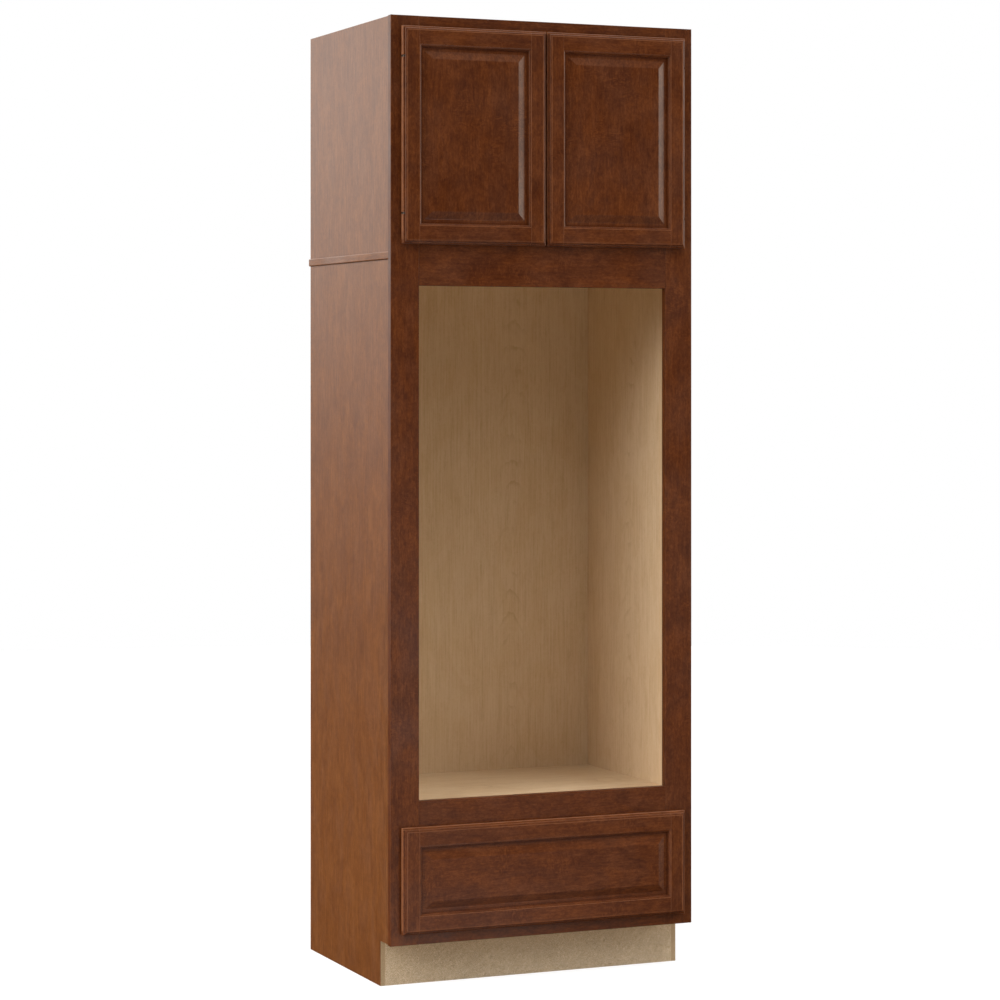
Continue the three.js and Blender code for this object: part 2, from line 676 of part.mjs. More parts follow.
/** Both leaves of one hinge about its pin, drawn for a left-hand door with the ears at Z = 0. */
function hingeLeaves(sign) {
  const pinToFrame = FRONT_GAP + HINGE_PIN_DEPTH;
  const framePlate = [pinToFrame - GLUE_LINE - HINGE_PLATE_THICKNESS, pinToFrame - GLUE_LINE];
  const doorPlate = [HINGE_PIN_DEPTH - GLUE_LINE - HINGE_PLATE_THICKNESS, HINGE_PIN_DEPTH - GLUE_LINE];
  const halfPlate = HINGE_PLATE_HEIGHT / 2;
  const halfGap = HINGE_EAR_GAP / 2;
  const plateStart = HINGE_PLATE_START - HINGE_PIN_INSET + GLUE_LINE;
  const earEnd = KERF_LENGTH - HINGE_PIN_INSET - GLUE_LINE;
  const frameEar = sweep(
    [
      ...arc(0, 0, HINGE_EAR_RADIUS, 180, 360, HINGE_STEPS),
      [HINGE_EAR_RADIUS, framePlate[0] + HINGE_WELD],
      [-HINGE_EAR_RADIUS, framePlate[0] + HINGE_WELD],
    ],
    'z',
    HINGE_EAR_THICKNESS,
  ).translate(0, 0, -halfGap - HINGE_EAR_THICKNESS);
  const pinLength = 2 * HINGE_EAR_THICKNESS;
  const pin = new THREE.CylinderGeometry(HINGE_PIN_RADIUS, HINGE_PIN_RADIUS, pinLength, PIN_SIDES)
    .rotateX(Math.PI / 2)
    .translate(0, 0, -halfGap);
  const frameLeaf = join(
    block(
      [-HINGE_EAR_RADIUS, HINGE_PLATE_WIDTH - HINGE_EAR_RADIUS],
      framePlate,
      [-halfPlate, halfPlate],
    ),
    frameEar,
    pin,
  );
  const doorEar = sweep(
    [
      ...arc(0, 0, HINGE_EAR_RADIUS, 110, 290, HINGE_STEPS),
      [earEnd, doorPlate[0] + HINGE_WELD],
      [earEnd, doorPlate[1]],
      [plateStart, doorPlate[1]],
    ],
    'z',
    HINGE_EAR_THICKNESS,
    [circle(HINGE_PIN_RADIUS + HINGE_PIN_CLEARANCE, PIN_SIDES)],
  ).translate(0, 0, halfGap);
  const doorLeaf = join(
    block(
      [plateStart, plateStart + HINGE_PLATE_WIDTH - GLUE_LINE],
      doorPlate,
      [-halfPlate, halfPlate],
    ),
    doorEar,
  );
  return [frameLeaf, doorLeaf].map((leaf) => (sign < 0 ? leaf : mirrored(leaf)));
}

/** A geometry reflected in X, still facing outwards. */
function mirrored(geometry) {
  const flipped = geometry.clone().scale(-1, 1, 1);
  const index = flipped.index.array;
  for (let i = 0; i < index.length; i += 3) [index[i], index[i + 1]] = [index[i + 1], index[i]];
  flipped.computeVertexNormals();
  return flipped;
}

/** The pair of cupboard doors with their hinges. */
function doors() {
  const group = new THREE.Group();
  const height = DOOR_TOP - DOOR_BOTTOM;
  const middle = (DOOR_TOP + DOOR_BOTTOM) / 2;
  for (const { hand, sign } of HANDS) {
    const door = front(`${hand}_door`, DOOR_WIDTH, height, sign);
    door.position.set((sign * (DOOR_WIDTH + DOOR_PAIR_GAP)) / 2, -FRONT_GAP, middle);
    group.add(door);
    for (const [end, z] of Object.entries(hingeHeights(height))) {
      const [frameLeaf, doorLeaf] = hingeLeaves(sign);
      const hinge = new THREE.Group();
      const pinAcross = FRONTS_WIDTH / 2 - HINGE_PIN_INSET;
      hinge.position.set(sign * pinAcross, -FRONT_GAP - HINGE_PIN_DEPTH, middle + z);
      hinge.add(
        piece(`${hand}_${end}_hinge_frame_leaf`, frameLeaf, BRONZED_STEEL),
        piece(`${hand}_${end}_hinge_door_leaf`, doorLeaf, BRONZED_STEEL),
      );
      group.add(hinge);
    }
  }
  return group;
}

// ---- drawer -------------------------------------------------------------------------------------

const BOX_HALF_WIDTH = HALF_OPENING - SLIDE_WIDTH - SLIDE_PLAY;
const BOX_BOTTOM = DRAWER_OPENING_BOTTOM + BOX_LIFT;
const BOX_FRONT = -FRONT_GAP + GLUE_LINE;
const BOX_BACK = BOX_FRONT + SLIDE_LENGTH;
const SLIDE_MIDDLE = BOX_BOTTOM + BOX_HEIGHT / 2;

/** One dovetail seen on the outside of a drawer side, [y, z], narrow where it leaves the side. */
function tailOutline(line, end, bottom, top, clearance) {
  const slope = TAIL_SLOPE * Math.abs(end - line);
  const root = line - Math.sign(end - line) * TAIL_ROOT;
  const outline = [
    [root, bottom + slope - clearance],
    [line, bottom + slope - clearance],
    [end, bottom - clearance],
    [end, top + clearance],
    [line, top - slope + clearance],
    [root, top - slope + clearance],
  ];
  return end > line ? outline : outline.reverse();
}

/** Heights between which each dovetail of a corner lies at its wide end. */
function tailSpans() {
  const pitch = BOX_HEIGHT / TAIL_COUNT;
  const tail = pitch * TAIL_SHARE;
  return Array.from({ length: TAIL_COUNT }, (_, i) => {
    const middle = BOX_BOTTOM + pitch * (i + 0.5);
    return [middle - tail / 2, middle + tail / 2];
  });
}

/** The dovetails of one drawer side, at both its ends, as bars rooted in the side. */
function tails(sign, clearance = 0) {
  const start = sign < 0 ? -BOX_HALF_WIDTH : BOX_HALF_WIDTH - BOX_WALL;
  const ends = [
    [BOX_FRONT + BOX_WALL, BOX_FRONT - clearance],
    [BOX_BACK - BOX_WALL, BOX_BACK + clearance],
  ];
  return ends.flatMap(([line, end]) =>
    tailSpans().map(([bottom, top]) =>
      sweep(tailOutline(line, end, bottom, top, clearance), 'x', BOX_WALL).translate(start, 0, 0),
    ),
  );
}

/** The groove that runs round the inside of the box for its bottom. */
function bottomGroove() {
  const low = BOX_BOTTOM + BOX_BOTTOM_LIFT;
  const reach = BOX_WALL - BOX_GROOVE_DEPTH;
  return block(
    [-BOX_HALF_WIDTH + reach, BOX_HALF_WIDTH - reach],
    [BOX_FRONT + reach, BOX_BACK - reach],
    [low - GLUE_LINE, low + BOX_BOTTOM_THICKNESS + GLUE_LINE],
  );
}

/** Side of the box with its dovetails and the groove for the bottom. */
function boxSide(sign) {
  const body = block(
    onHand(sign, BOX_HALF_WIDTH - BOX_WALL, BOX_HALF_WIDTH),
    [BOX_FRONT + BOX_WALL, BOX_BACK - BOX_WALL],
    [BOX_BOTTOM, BOX_BOTTOM + BOX_HEIGHT],
  );
  return cut(join(body, ...tails(sign)), bottomGroove());
}

/** Front or back of the box: a board across both sides, cut out round their dovetails. */
function boxEnd(near) {
  const board = block(
    [-BOX_HALF_WIDTH, BOX_HALF_WIDTH],
    [near, near + BOX_WALL - GLUE_LINE],
    [BOX_BOTTOM, BOX_BOTTOM + BOX_HEIGHT],
  );
  const sockets = HANDS.flatMap(({ sign }) => tails(sign, TAIL_CLEARANCE).map(widened));
  return cut(board, ...sockets, bottomGroove());
}

/** A dovetail bar made longer across the side by a glue line at both ends. */
function widened(bar) {
  bar.computeBoundingBox();
  const middle = bar.boundingBox.getCenter(new THREE.Vector3()).x;
  return bar.translate(-middle, 0, 0).scale(1 + (2 * GLUE_LINE) / BOX_WALL, 1, 1).translate(middle, 0, 0);
}

/** Bottom of the box in its groove. */
function boxFloor() {
  const low = BOX_BOTTOM + BOX_BOTTOM_LIFT;
  const reach = BOX_WALL - BOX_GROOVE_DEPTH + GLUE_LINE;
  return block(
    [-BOX_HALF_WIDTH + reach, BOX_HALF_WIDTH - reach],
    [BOX_FRONT + reach, BOX_BACK - reach],
    [low, low + BOX_BOTTOM_THICKNESS],
  );
}

/** The drawer: its front and its box. */
function drawer() {
  const group = new THREE.Group();
  const height = DRAWER_FRONT_TOP - DRAWER_FRONT_BOTTOM;
  const face = front('drawer_front', FRONTS_WIDTH, height);
  face.position.set(0, -FRONT_GAP, (DRAWER_FRONT_TOP + DRAWER_FRONT_BOTTOM) / 2);
  group.add(
    face,
    piece('drawer_box_left_side', boxSide(-1), DRAWER_MAPLE),
    piece('drawer_box_right_side', boxSide(1), DRAWER_MAPLE),
    piece('drawer_box_front', boxEnd(BOX_FRONT), DRAWER_MAPLE),
    piece('drawer_box_back', boxEnd(BOX_BACK - BOX_WALL + GLUE_LINE), DRAWER_MAPLE),
    piece('drawer_box_bottom', boxFloor(), DRAWER_MAPLE),
  );
  return group;
}

// ---- drawer slides ------------------------------------------------------------------------------

/**
 * The three members of a slide, each as an outline [across, up]: across runs from the stile's edge
 * (0) towards the drawer, up from the slide's middle. Each member hooks behind the lips of the one
 * that carries it.
 */
function slideSections() {
  const carrier = (back, half, mouth) =>
    bentSheet(
      [
        [mouth, half - SLIDE_LIP],
        [mouth, half],
        [back, half],
        [back, -half],
        [mouth, -half],
        [mouth, -half + SLIDE_LIP],
      ],
      SLIDE_STEEL,
    );
  const step = SLIDE_STEEL + SLIDE_RUNNING_GAP;
  const cabinetHalf = SLIDE_HEIGHT / 2;
  const middleHalf = cabinetHalf - step;
  const middleMouth = SLIDE_MOUTH - step;
  const hookHalf = middleHalf - step;
  const hookMouth = middleMouth - step;
  const neckHalf = hookHalf - SLIDE_LIP - SLIDE_RUNNING_GAP;
  const drawerFace = SLIDE_WIDTH + SLIDE_PLAY - GLUE_LINE;
  const drawerMember = bentSheet(
    [
      [hookMouth - SLIDE_STEEL, hookHalf],
      [hookMouth, hookHalf],
      [hookMouth, neckHalf],
      [drawerFace, neckHalf],
      [drawerFace, -neckHalf],
      [hookMouth, -neckHalf],
      [hookMouth, -hookHalf],
      [hookMouth - SLIDE_STEEL, -hookHalf],
    ],
    -SLIDE_STEEL,
  );
  return {
    cabinet: carrier(GLUE_LINE, cabinetHalf, SLIDE_MOUTH),
    middle: carrier(GLUE_LINE + step, middleHalf, middleMouth),
    drawer: drawerMember,
  };
}

/** A slide member from its section, on the left or right of the drawer opening. */
function slideMember(section, sign) {
  const placed = section.map(([across, up]) => [sign * (HALF_OPENING - across), SLIDE_MIDDLE + up]);
  const outline = THREE.ShapeUtils.isClockWise(placed.map(([u, v]) => new THREE.Vector2(u, v)))
    ? placed.reverse()
    : placed;
  return sweep(outline, 'y', SLIDE_LENGTH).translate(0, SLIDE_SETBACK + SLIDE_LENGTH, 0);
}

/** Bent-steel socket that carries a slide's back end off the back panel. */
function rearSocket(sign) {
  const skin = HALF_OPENING + GLUE_LINE;
  const lapStart = SLIDE_SETBACK + SLIDE_LENGTH - SOCKET_LAP;
  const path = [
    [skin, lapStart],
    [skin, PANEL_BACK],
    [skin + SOCKET_FLANGE, PANEL_BACK],
  ];
  const placed = bentSheet(path, -SOCKET_STEEL).map(([x, y]) => [sign * x, y]);
  const outline = THREE.ShapeUtils.isClockWise(placed.map(([u, v]) => new THREE.Vector2(u, v)))
    ? placed.reverse()
    : placed;
  return sweep(outline, 'z', SOCKET_HEIGHT).translate(0, 0, SLIDE_MIDDLE - SOCKET_HEIGHT / 2);
}

function slides() {
  const group = new THREE.Group();
  const sections = slideSections();
  for (const { hand, sign } of HANDS) {
    group.add(
      piece(`${hand}_slide_cabinet_member`, slideMember(sections.cabinet, sign), ZINC_STEEL),
      piece(`${hand}_slide_middle_member`, slideMember(sections.middle, sign), ZINC_STEEL),
      piece(`${hand}_slide_drawer_member`, slideMember(sections.drawer, sign), ZINC_STEEL),
      piece(`${hand}_slide_rear_socket`, rearSocket(sign), ZINC_STEEL),
    );
  }
  return group;
}

// ---- the unit -----------------------------------------------------------------------------------

const unit = new THREE.Group();
unit.add(carcass(), faceFrame(), doors(), drawer(), slides());
unit.position.y = -(CABINET_DEPTH - FRONT_PROUD) / 2;

export default unit;
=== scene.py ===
"""Looks of a tall oven housing unit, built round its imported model.

The unit is a face-framed kitchen cabinet: stained maple outside, natural maple laminate inside. Every piece
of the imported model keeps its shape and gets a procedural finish, and the small hardware that the model leaves
out (screws, staples, bumpers) is modelled here. Metres, +Z up, doors towards -Y.
"""

import logging
import math
import random
from dataclasses import dataclass, field
from enum import Enum
from typing import Iterable, Optional, Union

import bmesh
import bpy
from mathutils import Matrix, Vector


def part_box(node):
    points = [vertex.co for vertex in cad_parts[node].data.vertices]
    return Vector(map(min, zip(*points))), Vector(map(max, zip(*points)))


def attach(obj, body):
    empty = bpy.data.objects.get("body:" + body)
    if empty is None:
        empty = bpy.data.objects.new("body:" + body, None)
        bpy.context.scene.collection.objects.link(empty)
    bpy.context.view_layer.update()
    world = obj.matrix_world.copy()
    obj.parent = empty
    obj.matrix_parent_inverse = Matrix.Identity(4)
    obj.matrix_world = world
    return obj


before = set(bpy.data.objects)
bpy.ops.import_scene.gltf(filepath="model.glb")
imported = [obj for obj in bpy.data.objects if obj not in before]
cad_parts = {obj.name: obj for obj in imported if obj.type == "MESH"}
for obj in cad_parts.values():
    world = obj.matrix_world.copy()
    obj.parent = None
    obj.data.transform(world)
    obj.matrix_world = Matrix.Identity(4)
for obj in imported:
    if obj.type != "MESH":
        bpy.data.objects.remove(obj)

LOG = logging.getLogger("oven_housing")
MM = 0.001
HANDS = {"left": -1, "right": 1}
ENDS = ("bottom", "top")
BACKWARDS = Vector((0, 1, 0))

Colour = tuple[float, float, float]
Socket = bpy.types.NodeSocket
Verts = list[bmesh.types.BMVert]
Term = Union["Value", Vector, Iterable[float], float]
Feeds = dict[Union[int, str], Term]
Finish = Union["Wood", "Laminated"]


class Grain(Enum):
    """Order in which a board's coordinates are read, so that the last runs along its grain."""

    UP = (0, 1, 2)
    ACROSS = (2, 1, 0)
    DEEP = (0, 2, 1)


class Axis(Enum):
    """One of the three directions of the unit."""

    X = 0
    Y = 1
    Z = 2


# ---- node trees --------------------------------------------------------------------------------------


@dataclass(frozen=True)
class Noise:
    """One layer of smooth noise, from 0 to 1.

    Attributes:
        scale: Cycles to a metre.
        detail: Octaves.
        rough: Weight of each finer octave.
        bend: Distortion.
        stretch: What the coordinates are multiplied by before it is read.
    """

    scale: float
    detail: float = 3.0
    rough: float = 0.6
    bend: float = 0.0
    stretch: Optional[tuple[float, float, float]] = None


@dataclass(frozen=True)
class Value:
    """An output of a node, which takes part in a formula as a number does.

    Attributes:
        nodes: The tree that it belongs to.
        socket: The output.
    """

    nodes: "Nodes"
    socket: Socket

    def __add__(self, other: Term) -> "Value":
        """Return the sum."""
        return self.nodes.math("ADD", self, other)

    def __sub__(self, other: Term) -> "Value":
        """Return the difference."""
        return self.nodes.math("SUBTRACT", self, other)

    def __rsub__(self, other: float) -> "Value":
        """Return how far this lies under a plain number."""
        return self.nodes.math("SUBTRACT", other, self)

    def __mul__(self, other: Term) -> "Value":
        """Return the product."""
        return self.nodes.math("MULTIPLY", self, other)

    def __truediv__(self, other: Term) -> "Value":
        """Return the quotient."""
        return self.nodes.math("DIVIDE", self, other)

    def __abs__(self) -> "Value":
        """Return the number without its sign."""
        return self.nodes.math("ABSOLUTE", self)

    def least(self, other: Term) -> "Value":
        """Return the smaller of the two."""
        return self.nodes.math("MINIMUM", self, other)

    def most(self, other: Term) -> "Value":
        """Return the larger of the two."""
        return self.nodes.math("MAXIMUM", self, other)

    def share(self, times: float = 1.0) -> "Value":
        """Return this times a number, kept within 0 and 1."""
        return self.nodes.math("MULTIPLY", self, times, clamp=True)

    def rise(self, low: float, high: float, start: float = 0.0, end: float = 1.0) -> "Value":
        """Return a smooth step between two values of this.

        Args:
            low: Where the step starts.
            high: Where it ends. It may be under low, for a falling step.
            start: Result at low.
            end: Result at high.

        Returns:
            The step.
        """
        if low > high:
            low, high, start, end = high, low, end, start
        feeds = {"Value": self, "From Min": low, "From Max": high, "To Min": start, "To Max": end}
        return self.nodes.node("ShaderNodeMapRange", feeds, "Result", interpolation_type="SMOOTHSTEP")

    def lines(self, places: Iterable[float], half_width: float) -> "Value":
        """Return 1 on soft lines at given values of this, and 0 between them.

        Args:
            places: Where the lines lie.
            half_width: Half of a line's width.

        Returns:
            The mask.
        """
        mask: Term = 0.0
        for place in places:
            mask = abs(self - place).rise(half_width, half_width * 0.25).most(mask)
        return mask


class Nodes:
    """A node tree, written as one would write the formula."""

    def __init__(self, tree: bpy.types.NodeTree, output: str) -> None:
        """Empty a tree and give it an output node.

        Args:
            tree: The tree.
            output: Type name of its output node.
        """
        self.tree = tree
        tree.nodes.clear()
        self.output = tree.nodes.new(output)

    def feed(self, socket: Socket, term: Term) -> None:
        """Link a node's output to an input, or set the input to a plain value.

        Args:
            socket: The input.
            term: What goes into it.
        """
        if isinstance(term, Value):
            self.tree.links.new(term.socket, socket)
        elif socket.type == "RGBA":
            socket.default_value = (*term, 1.0)
        else:
            socket.default_value = term

    def node(self, kind: str, feeds: Feeds, output: Union[int, str] = 0, **settings: object) -> Value:
        """Add a node.

        Args:
            kind: Its type name.
            feeds: What goes into its inputs, by their names or numbers.
            output: Name or number of the output that is wanted.
            **settings: Properties to set on it.

        Returns:
            The output.
        """
        node = self.tree.nodes.new(kind)
        for key, setting in settings.items():
            setattr(node, key, setting)
        for key, term in feeds.items():
            self.feed(node.inputs[key], term)
        return Value(self, node.outputs[output])

    def show(self, shader: Value) -> None:
        """Let the tree give out a shader."""
        self.feed(self.output.inputs["Surface"], shader)

    def is_ray(self, kind: str) -> Value:
        """Return 1 for rays of one kind, as the light path node names it, and 0 for the rest."""
        return self.node("ShaderNodeLightPath", {}, kind)

    def by_ray(self, kind: str, rest: Value, chosen: Value) -> Value:
        """Return a shader that is one thing for rays of one kind, and another for the rest."""
        return self.node("ShaderNodeMixShader", {0: self.is_ray(kind), 1: rest, 2: chosen})

    def math(self, operation: str, *terms: Term, clamp: bool = False) -> Value:
        """Return the result of a math operation, kept within 0 and 1 if it is clamped."""
        return self.node("ShaderNodeMath", dict(enumerate(terms)), operation=operation, use_clamp=clamp)

    def vector(self, operation: str, *terms: Term) -> Value:
        """Return the result of a vector operation."""
        return self.node("ShaderNodeVectorMath", dict(enumerate(terms)), operation=operation)

    def split(self, vector: Value) -> list[Value]:
        """Return the three parts of a vector."""
        first = self.node("ShaderNodeSeparateXYZ", {0: vector})
        return [Value(self, socket) for socket in first.socket.node.outputs]

    def merge(self, *parts: Term) -> Value:
        """Return the vector of three parts."""
        return self.node("ShaderNodeCombineXYZ", dict(enumerate(parts)))

    def position(self) -> Value:
        """Return the object coordinates."""
        return self.node("ShaderNodeTexCoord", {}, "Object")

    def inside(self, low: Vector, high: Vector) -> list[Value]:
        """Return how far the position lies within the nearer faces of a box, along each axis."""
        away = self.vector("ABSOLUTE", self.vector("SUBTRACT", self.position(), (low + high) / 2))
        return self.split(self.vector("SUBTRACT", (high - low) / 2, away))

    def noise(self, at: Value, layer: Noise) -> Value:
        """Return smooth noise.

        Args:
            at: Where it is read.
            layer: The layer of noise.

        Returns:
            The noise.
        """
        feeds = {
            "Vector": self.vector("MULTIPLY", at, layer.stretch) if layer.stretch else at,
            "Scale": layer.scale,
            "Detail": layer.detail,
            "Roughness": layer.rough,
            "Distortion": layer.bend,
        }
        return self.node("ShaderNodeTexNoise", feeds, "Fac")

    def blend(self, factor: Term, first: Term, second: Term, mode: str = "MIX") -> Value:
        """Return a mix of two colours.

        Args:
            factor: Share of the second.
            first: Colour at factor 0.
            second: Colour at factor 1.
            mode: Blend mode.

        Returns:
            The mixed colour.
        """
        feeds = {0: factor, 6: first, 7: second}
        return self.node("ShaderNodeMix", feeds, 2, data_type="RGBA", blend_type=mode)


class Paint(Nodes):
    """The node tree of a material, round one Principled shader."""

    def __init__(self, name: str) -> None:
        """Start a material.

        Args:
            name: Its name.
        """
        self.material = bpy.data.materials.new(name)
        self.material.use_nodes = True
        super().__init__(self.material.node_tree, "ShaderNodeOutputMaterial")
        self.shader = self.node("ShaderNodeBsdfPrincipled", {}, "BSDF")
        self.show(self.shader)

    def finish(self, feeds: Feeds) -> bpy.types.Material:
        """Feed the shader.

        Args:
            feeds: What goes into its inputs, by name.

        Returns:
            The material.
        """
        for name, term in feeds.items():
            self.feed(self.shader.socket.node.inputs[name], term)
        return self.material

    def bump(self, height: Value, strength: float, distance: float) -> Value:
        """Return normals that a height field tilts.

        Args:
            height: The field, 0 to 1.
            strength: Share of the effect.
            distance: Real height of 1, in metres.

        Returns:
            The normals.
        """
        feeds = {"Strength": strength, "Distance": distance, "Height": height}
        return self.node("ShaderNodeBump", feeds, "Normal")


# ---- finishes ----------------------------------------------------------------------------------------

RING_STRETCH = (1.0, 1.0, 0.3)
CLOUDS = Noise(19.0, 4.0, 0.6, 0.9, (1.0, 1.0, 0.6))
MOTTLE = Noise(130.0, 4.0, 0.75, 0.8, (1.0, 1.0, 0.7))
FLUSHES = Noise(13.0, 4.0, 0.65, 1.2, (1.0, 1.0, 0.4))
CURL = Noise(150.0, 2.0, 0.6, 1.5, (0.35, 0.35, 1.0))
CURLED_SPOTS = Noise(9.0, 2.0, 0.5, 0.6)
RING_SWAY = Noise(5.0, 3.0, 0.55, stretch=RING_STRETCH)
RING_RIPPLE = Noise(38.0, stretch=RING_STRETCH)
RING_GAPS = Noise(22.0, stretch=RING_STRETCH)
SMUDGES = Noise(7.0, 4.0)
CHIP_SCATTER = Noise(160.0, 2.0, 0.5)
WOOD_DUST = Noise(900.0, 2.0)
BOARD_CLOUDS = Noise(14.0)
PLATING_CLOUDS = Noise(90.0, 4.0)
ROLLING_MARKS = Noise(900.0, stretch=(1.0, 0.03, 1.0))
PLASTIC_CLOUDS = Noise(400.0)
RUBBED_HIGHLIGHT_GAPS = Noise(48.0)
LACQUER_TINT = (1.0, 0.88, 0.70)


@dataclass(frozen=True)
class Board:
    """Where a board lies, which way its grain runs and which tree it came from.

    Attributes:
        low: Its lowest corner.
        high: Its highest corner.
        grain: Direction of its grain.
        seed: Number that gives it a figure of its own.
        worn: Whether its own arrises are rubbed pale. Those of a joint are not.
        heart: How far the arched rings lie from the middle of the board.
    """

    low: Vector
    high: Vector
    grain: Grain
    seed: int
    worn: bool = True
    heart: float = 0.0

    @classmethod
    def of(cls, node: str, grain: Grain, worn: bool = True, heart: float = 0.0) -> "Board":
        """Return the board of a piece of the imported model.

        Args:
            node: Name of the piece.
            grain: Direction of its grain.
            worn: Whether its own arrises are rubbed.
            heart: How far its arched rings lie from its middle.

        Returns:
            The board.
        """
        low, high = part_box(node)
        seed = sum(ord(letter) * (place + 3) for place, letter in enumerate(node))
        return cls(low, high, grain, seed, worn, heart)

    def turned(self, paint: Paint, vector: Value) -> Value:
        """Return a vector with its Z along the grain."""
        parts = paint.split(vector)
        return paint.merge(*(parts[axis] for axis in self.grain.value))

    def along_grain(self, paint: Paint) -> Value:
        """Return the position with Z along the grain, so far away that each board has its own figure.

        Args:
            paint: The tree of nodes.

        Returns:
            The position, shifted by the board's own draw.
        """
        draw = random.Random(self.seed)
        shift = [draw.uniform(-9, 9) for _ in Axis]
        return paint.vector("ADD", self.turned(paint, paint.position()), shift)

    def centred(self, paint: Paint) -> Value:
        """Return the position seen from the board's centre, with Z along the grain."""
        middle = (self.low + self.high) / 2
        return self.turned(paint, paint.vector("SUBTRACT", paint.position(), middle))

    def from_arris(self, paint: Paint) -> Value:
        """Return how far a point on the board's surface lies from the nearest arris."""
        a, b, c = paint.inside(self.low, self.high)
        return a + b + c - a.least(b).least(c) - a.most(b).most(c)


@dataclass(frozen=True)
class Wood:
    """Lacquered maple, stained or natural.

    Attributes:
        name: Name of the finish.
        body: Its main colour.
        deep: Colour of dark streaks and rings, and of the painted shade in a raised panel's groove.
        light: Colour of pale streaks.
        flush: Tint that multiplies the colour in the cloudy patches that the stain leaves.
        rubbed_and_highlight: Colour of arrises, where the stain is thin, and of the painted highlight lines on
            the fronts' mouldings.
        streaks: Contrast of the fine streaks.
        clouds: Contrast of the patches.
        rings: Contrast of the arched growth rings of a flat-sawn board.
        figure: Contrast of the small curly figure.
        wear: How far arrises are rubbed.
        rough: Roughness of the lacquer.
        sheen: How strongly the lacquer reflects.
        run: How short streaks are: their breadth over their length.
        gain: How strongly the layers of noise swing the colour.
        ring_pitch: Distance between two growth rings.
        ring_reach: How far from their axis the rings show.
        arris: How far from an arris the rubbing starts, and where it is full.
    """

    name: str
    body: Colour
    deep: Colour
    light: Colour
    flush: Colour
    rubbed_and_highlight: Colour
    streaks: float
    clouds: float
    figure: float
    wear: float
    rough: float
    rings: float = 0.0
    sheen: float = 0.25
    run: float = 0.1
    gain: float = 12.0
    ring_pitch: float = 8 * MM
    ring_reach: float = 55 * MM
    arris: tuple[float, float] = (2.0 * MM, 0.2 * MM)

    def colour(self, paint: Paint, board: Board) -> tuple[Value, Value]:
        """Add the wood's pattern to a node tree.

        Args:
            paint: The tree.
            board: The board that it covers.

        Returns:
            The colour and the height of the grain.
        """
        at = board.along_grain(paint)
        wide = paint.noise(at, Noise(190.0, 3.0, 0.6, 0.3, (1.0, 1.0, self.run)))
        fine = paint.noise(at, Noise(560.0, 3.0, 0.7, 0.0, (1.0, 1.0, self.run * 1.5)))
        mottle = paint.noise(at, MOTTLE)
        layers = (
            (wide, self.streaks),
            (fine, self.streaks * 1.2),
            (paint.noise(at, CLOUDS), self.clouds),
            (mottle, self.clouds * 1.3),
        )
        swing: Term = random.Random(board.seed + 2).uniform(-0.05, 0.05)
        for noise, weight in layers:
            swing = (noise - 0.5) * (weight * self.gain) + swing
        tone = paint.blend(swing.share(), self.body, self.light)
        tone = paint.blend(swing.share(-1.0), tone, self.deep)
        flushed = paint.noise(at, FLUSHES).rise(0.42, 0.62)
        tone = paint.blend(flushed, tone, self.flush, "MULTIPLY")
        curl = paint.noise(at, CURL)
        curled = paint.noise(at, CURLED_SPOTS).rise(0.55, 0.68)
        tone = paint.blend(curled * curl.rise(0.5, 0.4, 0.0, self.figure), tone, self.deep)
        tone = paint.blend(curled * curl.rise(0.54, 0.66, 0.0, self.figure), tone, self.light)
        if self.rings > 0.0:
            tone = paint.blend(self.ring_mask(paint, board), tone, self.deep)
        if board.worn:
            worn = board.from_arris(paint).rise(*self.arris, 0.0, self.wear)
            tone = paint.blend(worn * mottle.rise(0.35, 0.6, 0.35, 1.0), tone, self.rubbed_and_highlight)
        return tone, fine * 0.6 + wide * 0.4

    def ring_mask(self, paint: Paint, board: Board) -> Value:
        """Return thin dark lines where a flat-sawn face cuts the tree's rings.

        Args:
            paint: The tree of nodes.
            board: The board.

        Returns:
            The mask.
        """
        off_middle = random.Random(board.seed + 1).uniform(-20 * MM, 20 * MM) - board.heart
        along = board.along_grain(paint)
        x, y, z = paint.split(board.centred(paint))
        sway = (paint.noise(along, RING_SWAY) - 0.5) * (50 * MM)
        across = x + y + (sway + off_middle)
        depth = z * 0.13 + 170 * MM
        ripple = (paint.noise(along, RING_RIPPLE) - 0.5) * (8 * MM)
        radius = paint.math("SQRT", across * across + depth * depth) + ripple
        phase = paint.math("FRACT", radius / self.ring_pitch)
        line = phase.rise(0.66, 0.95) * phase.rise(1.0, 0.95)
        near = abs(across).rise(self.ring_reach, 5 * MM)
        return line * paint.noise(along, RING_GAPS).rise(0.42, 0.68) * (near * self.rings)

    def lacquer(self, paint: Paint, tone: Value, height: Value) -> bpy.types.Material:
        """Put the lacquer over the pattern.

        Args:
            paint: The tree of nodes.
            tone: Colour of the wood.
            height: Height of its grain.

        Returns:
            The material.
        """
        smudges = paint.noise(paint.position(), SMUDGES)
        feeds = {
            "Base Color": tone,
            "Roughness": smudges.rise(0.3, 0.7, self.rough - 0.05, self.rough + 0.07),
            "Specular IOR Level": self.sheen,
            "Specular Tint": LACQUER_TINT,
            "Normal": paint.bump(height, 0.25, 0.05 * MM),
        }
        return paint.finish(feeds)

    def material(self, board: Board) -> bpy.types.Material:
        """Return the finish for one board."""
        paint = Paint(f"{self.name}_{board.seed}")
        return self.lacquer(paint, *self.colour(paint, board))


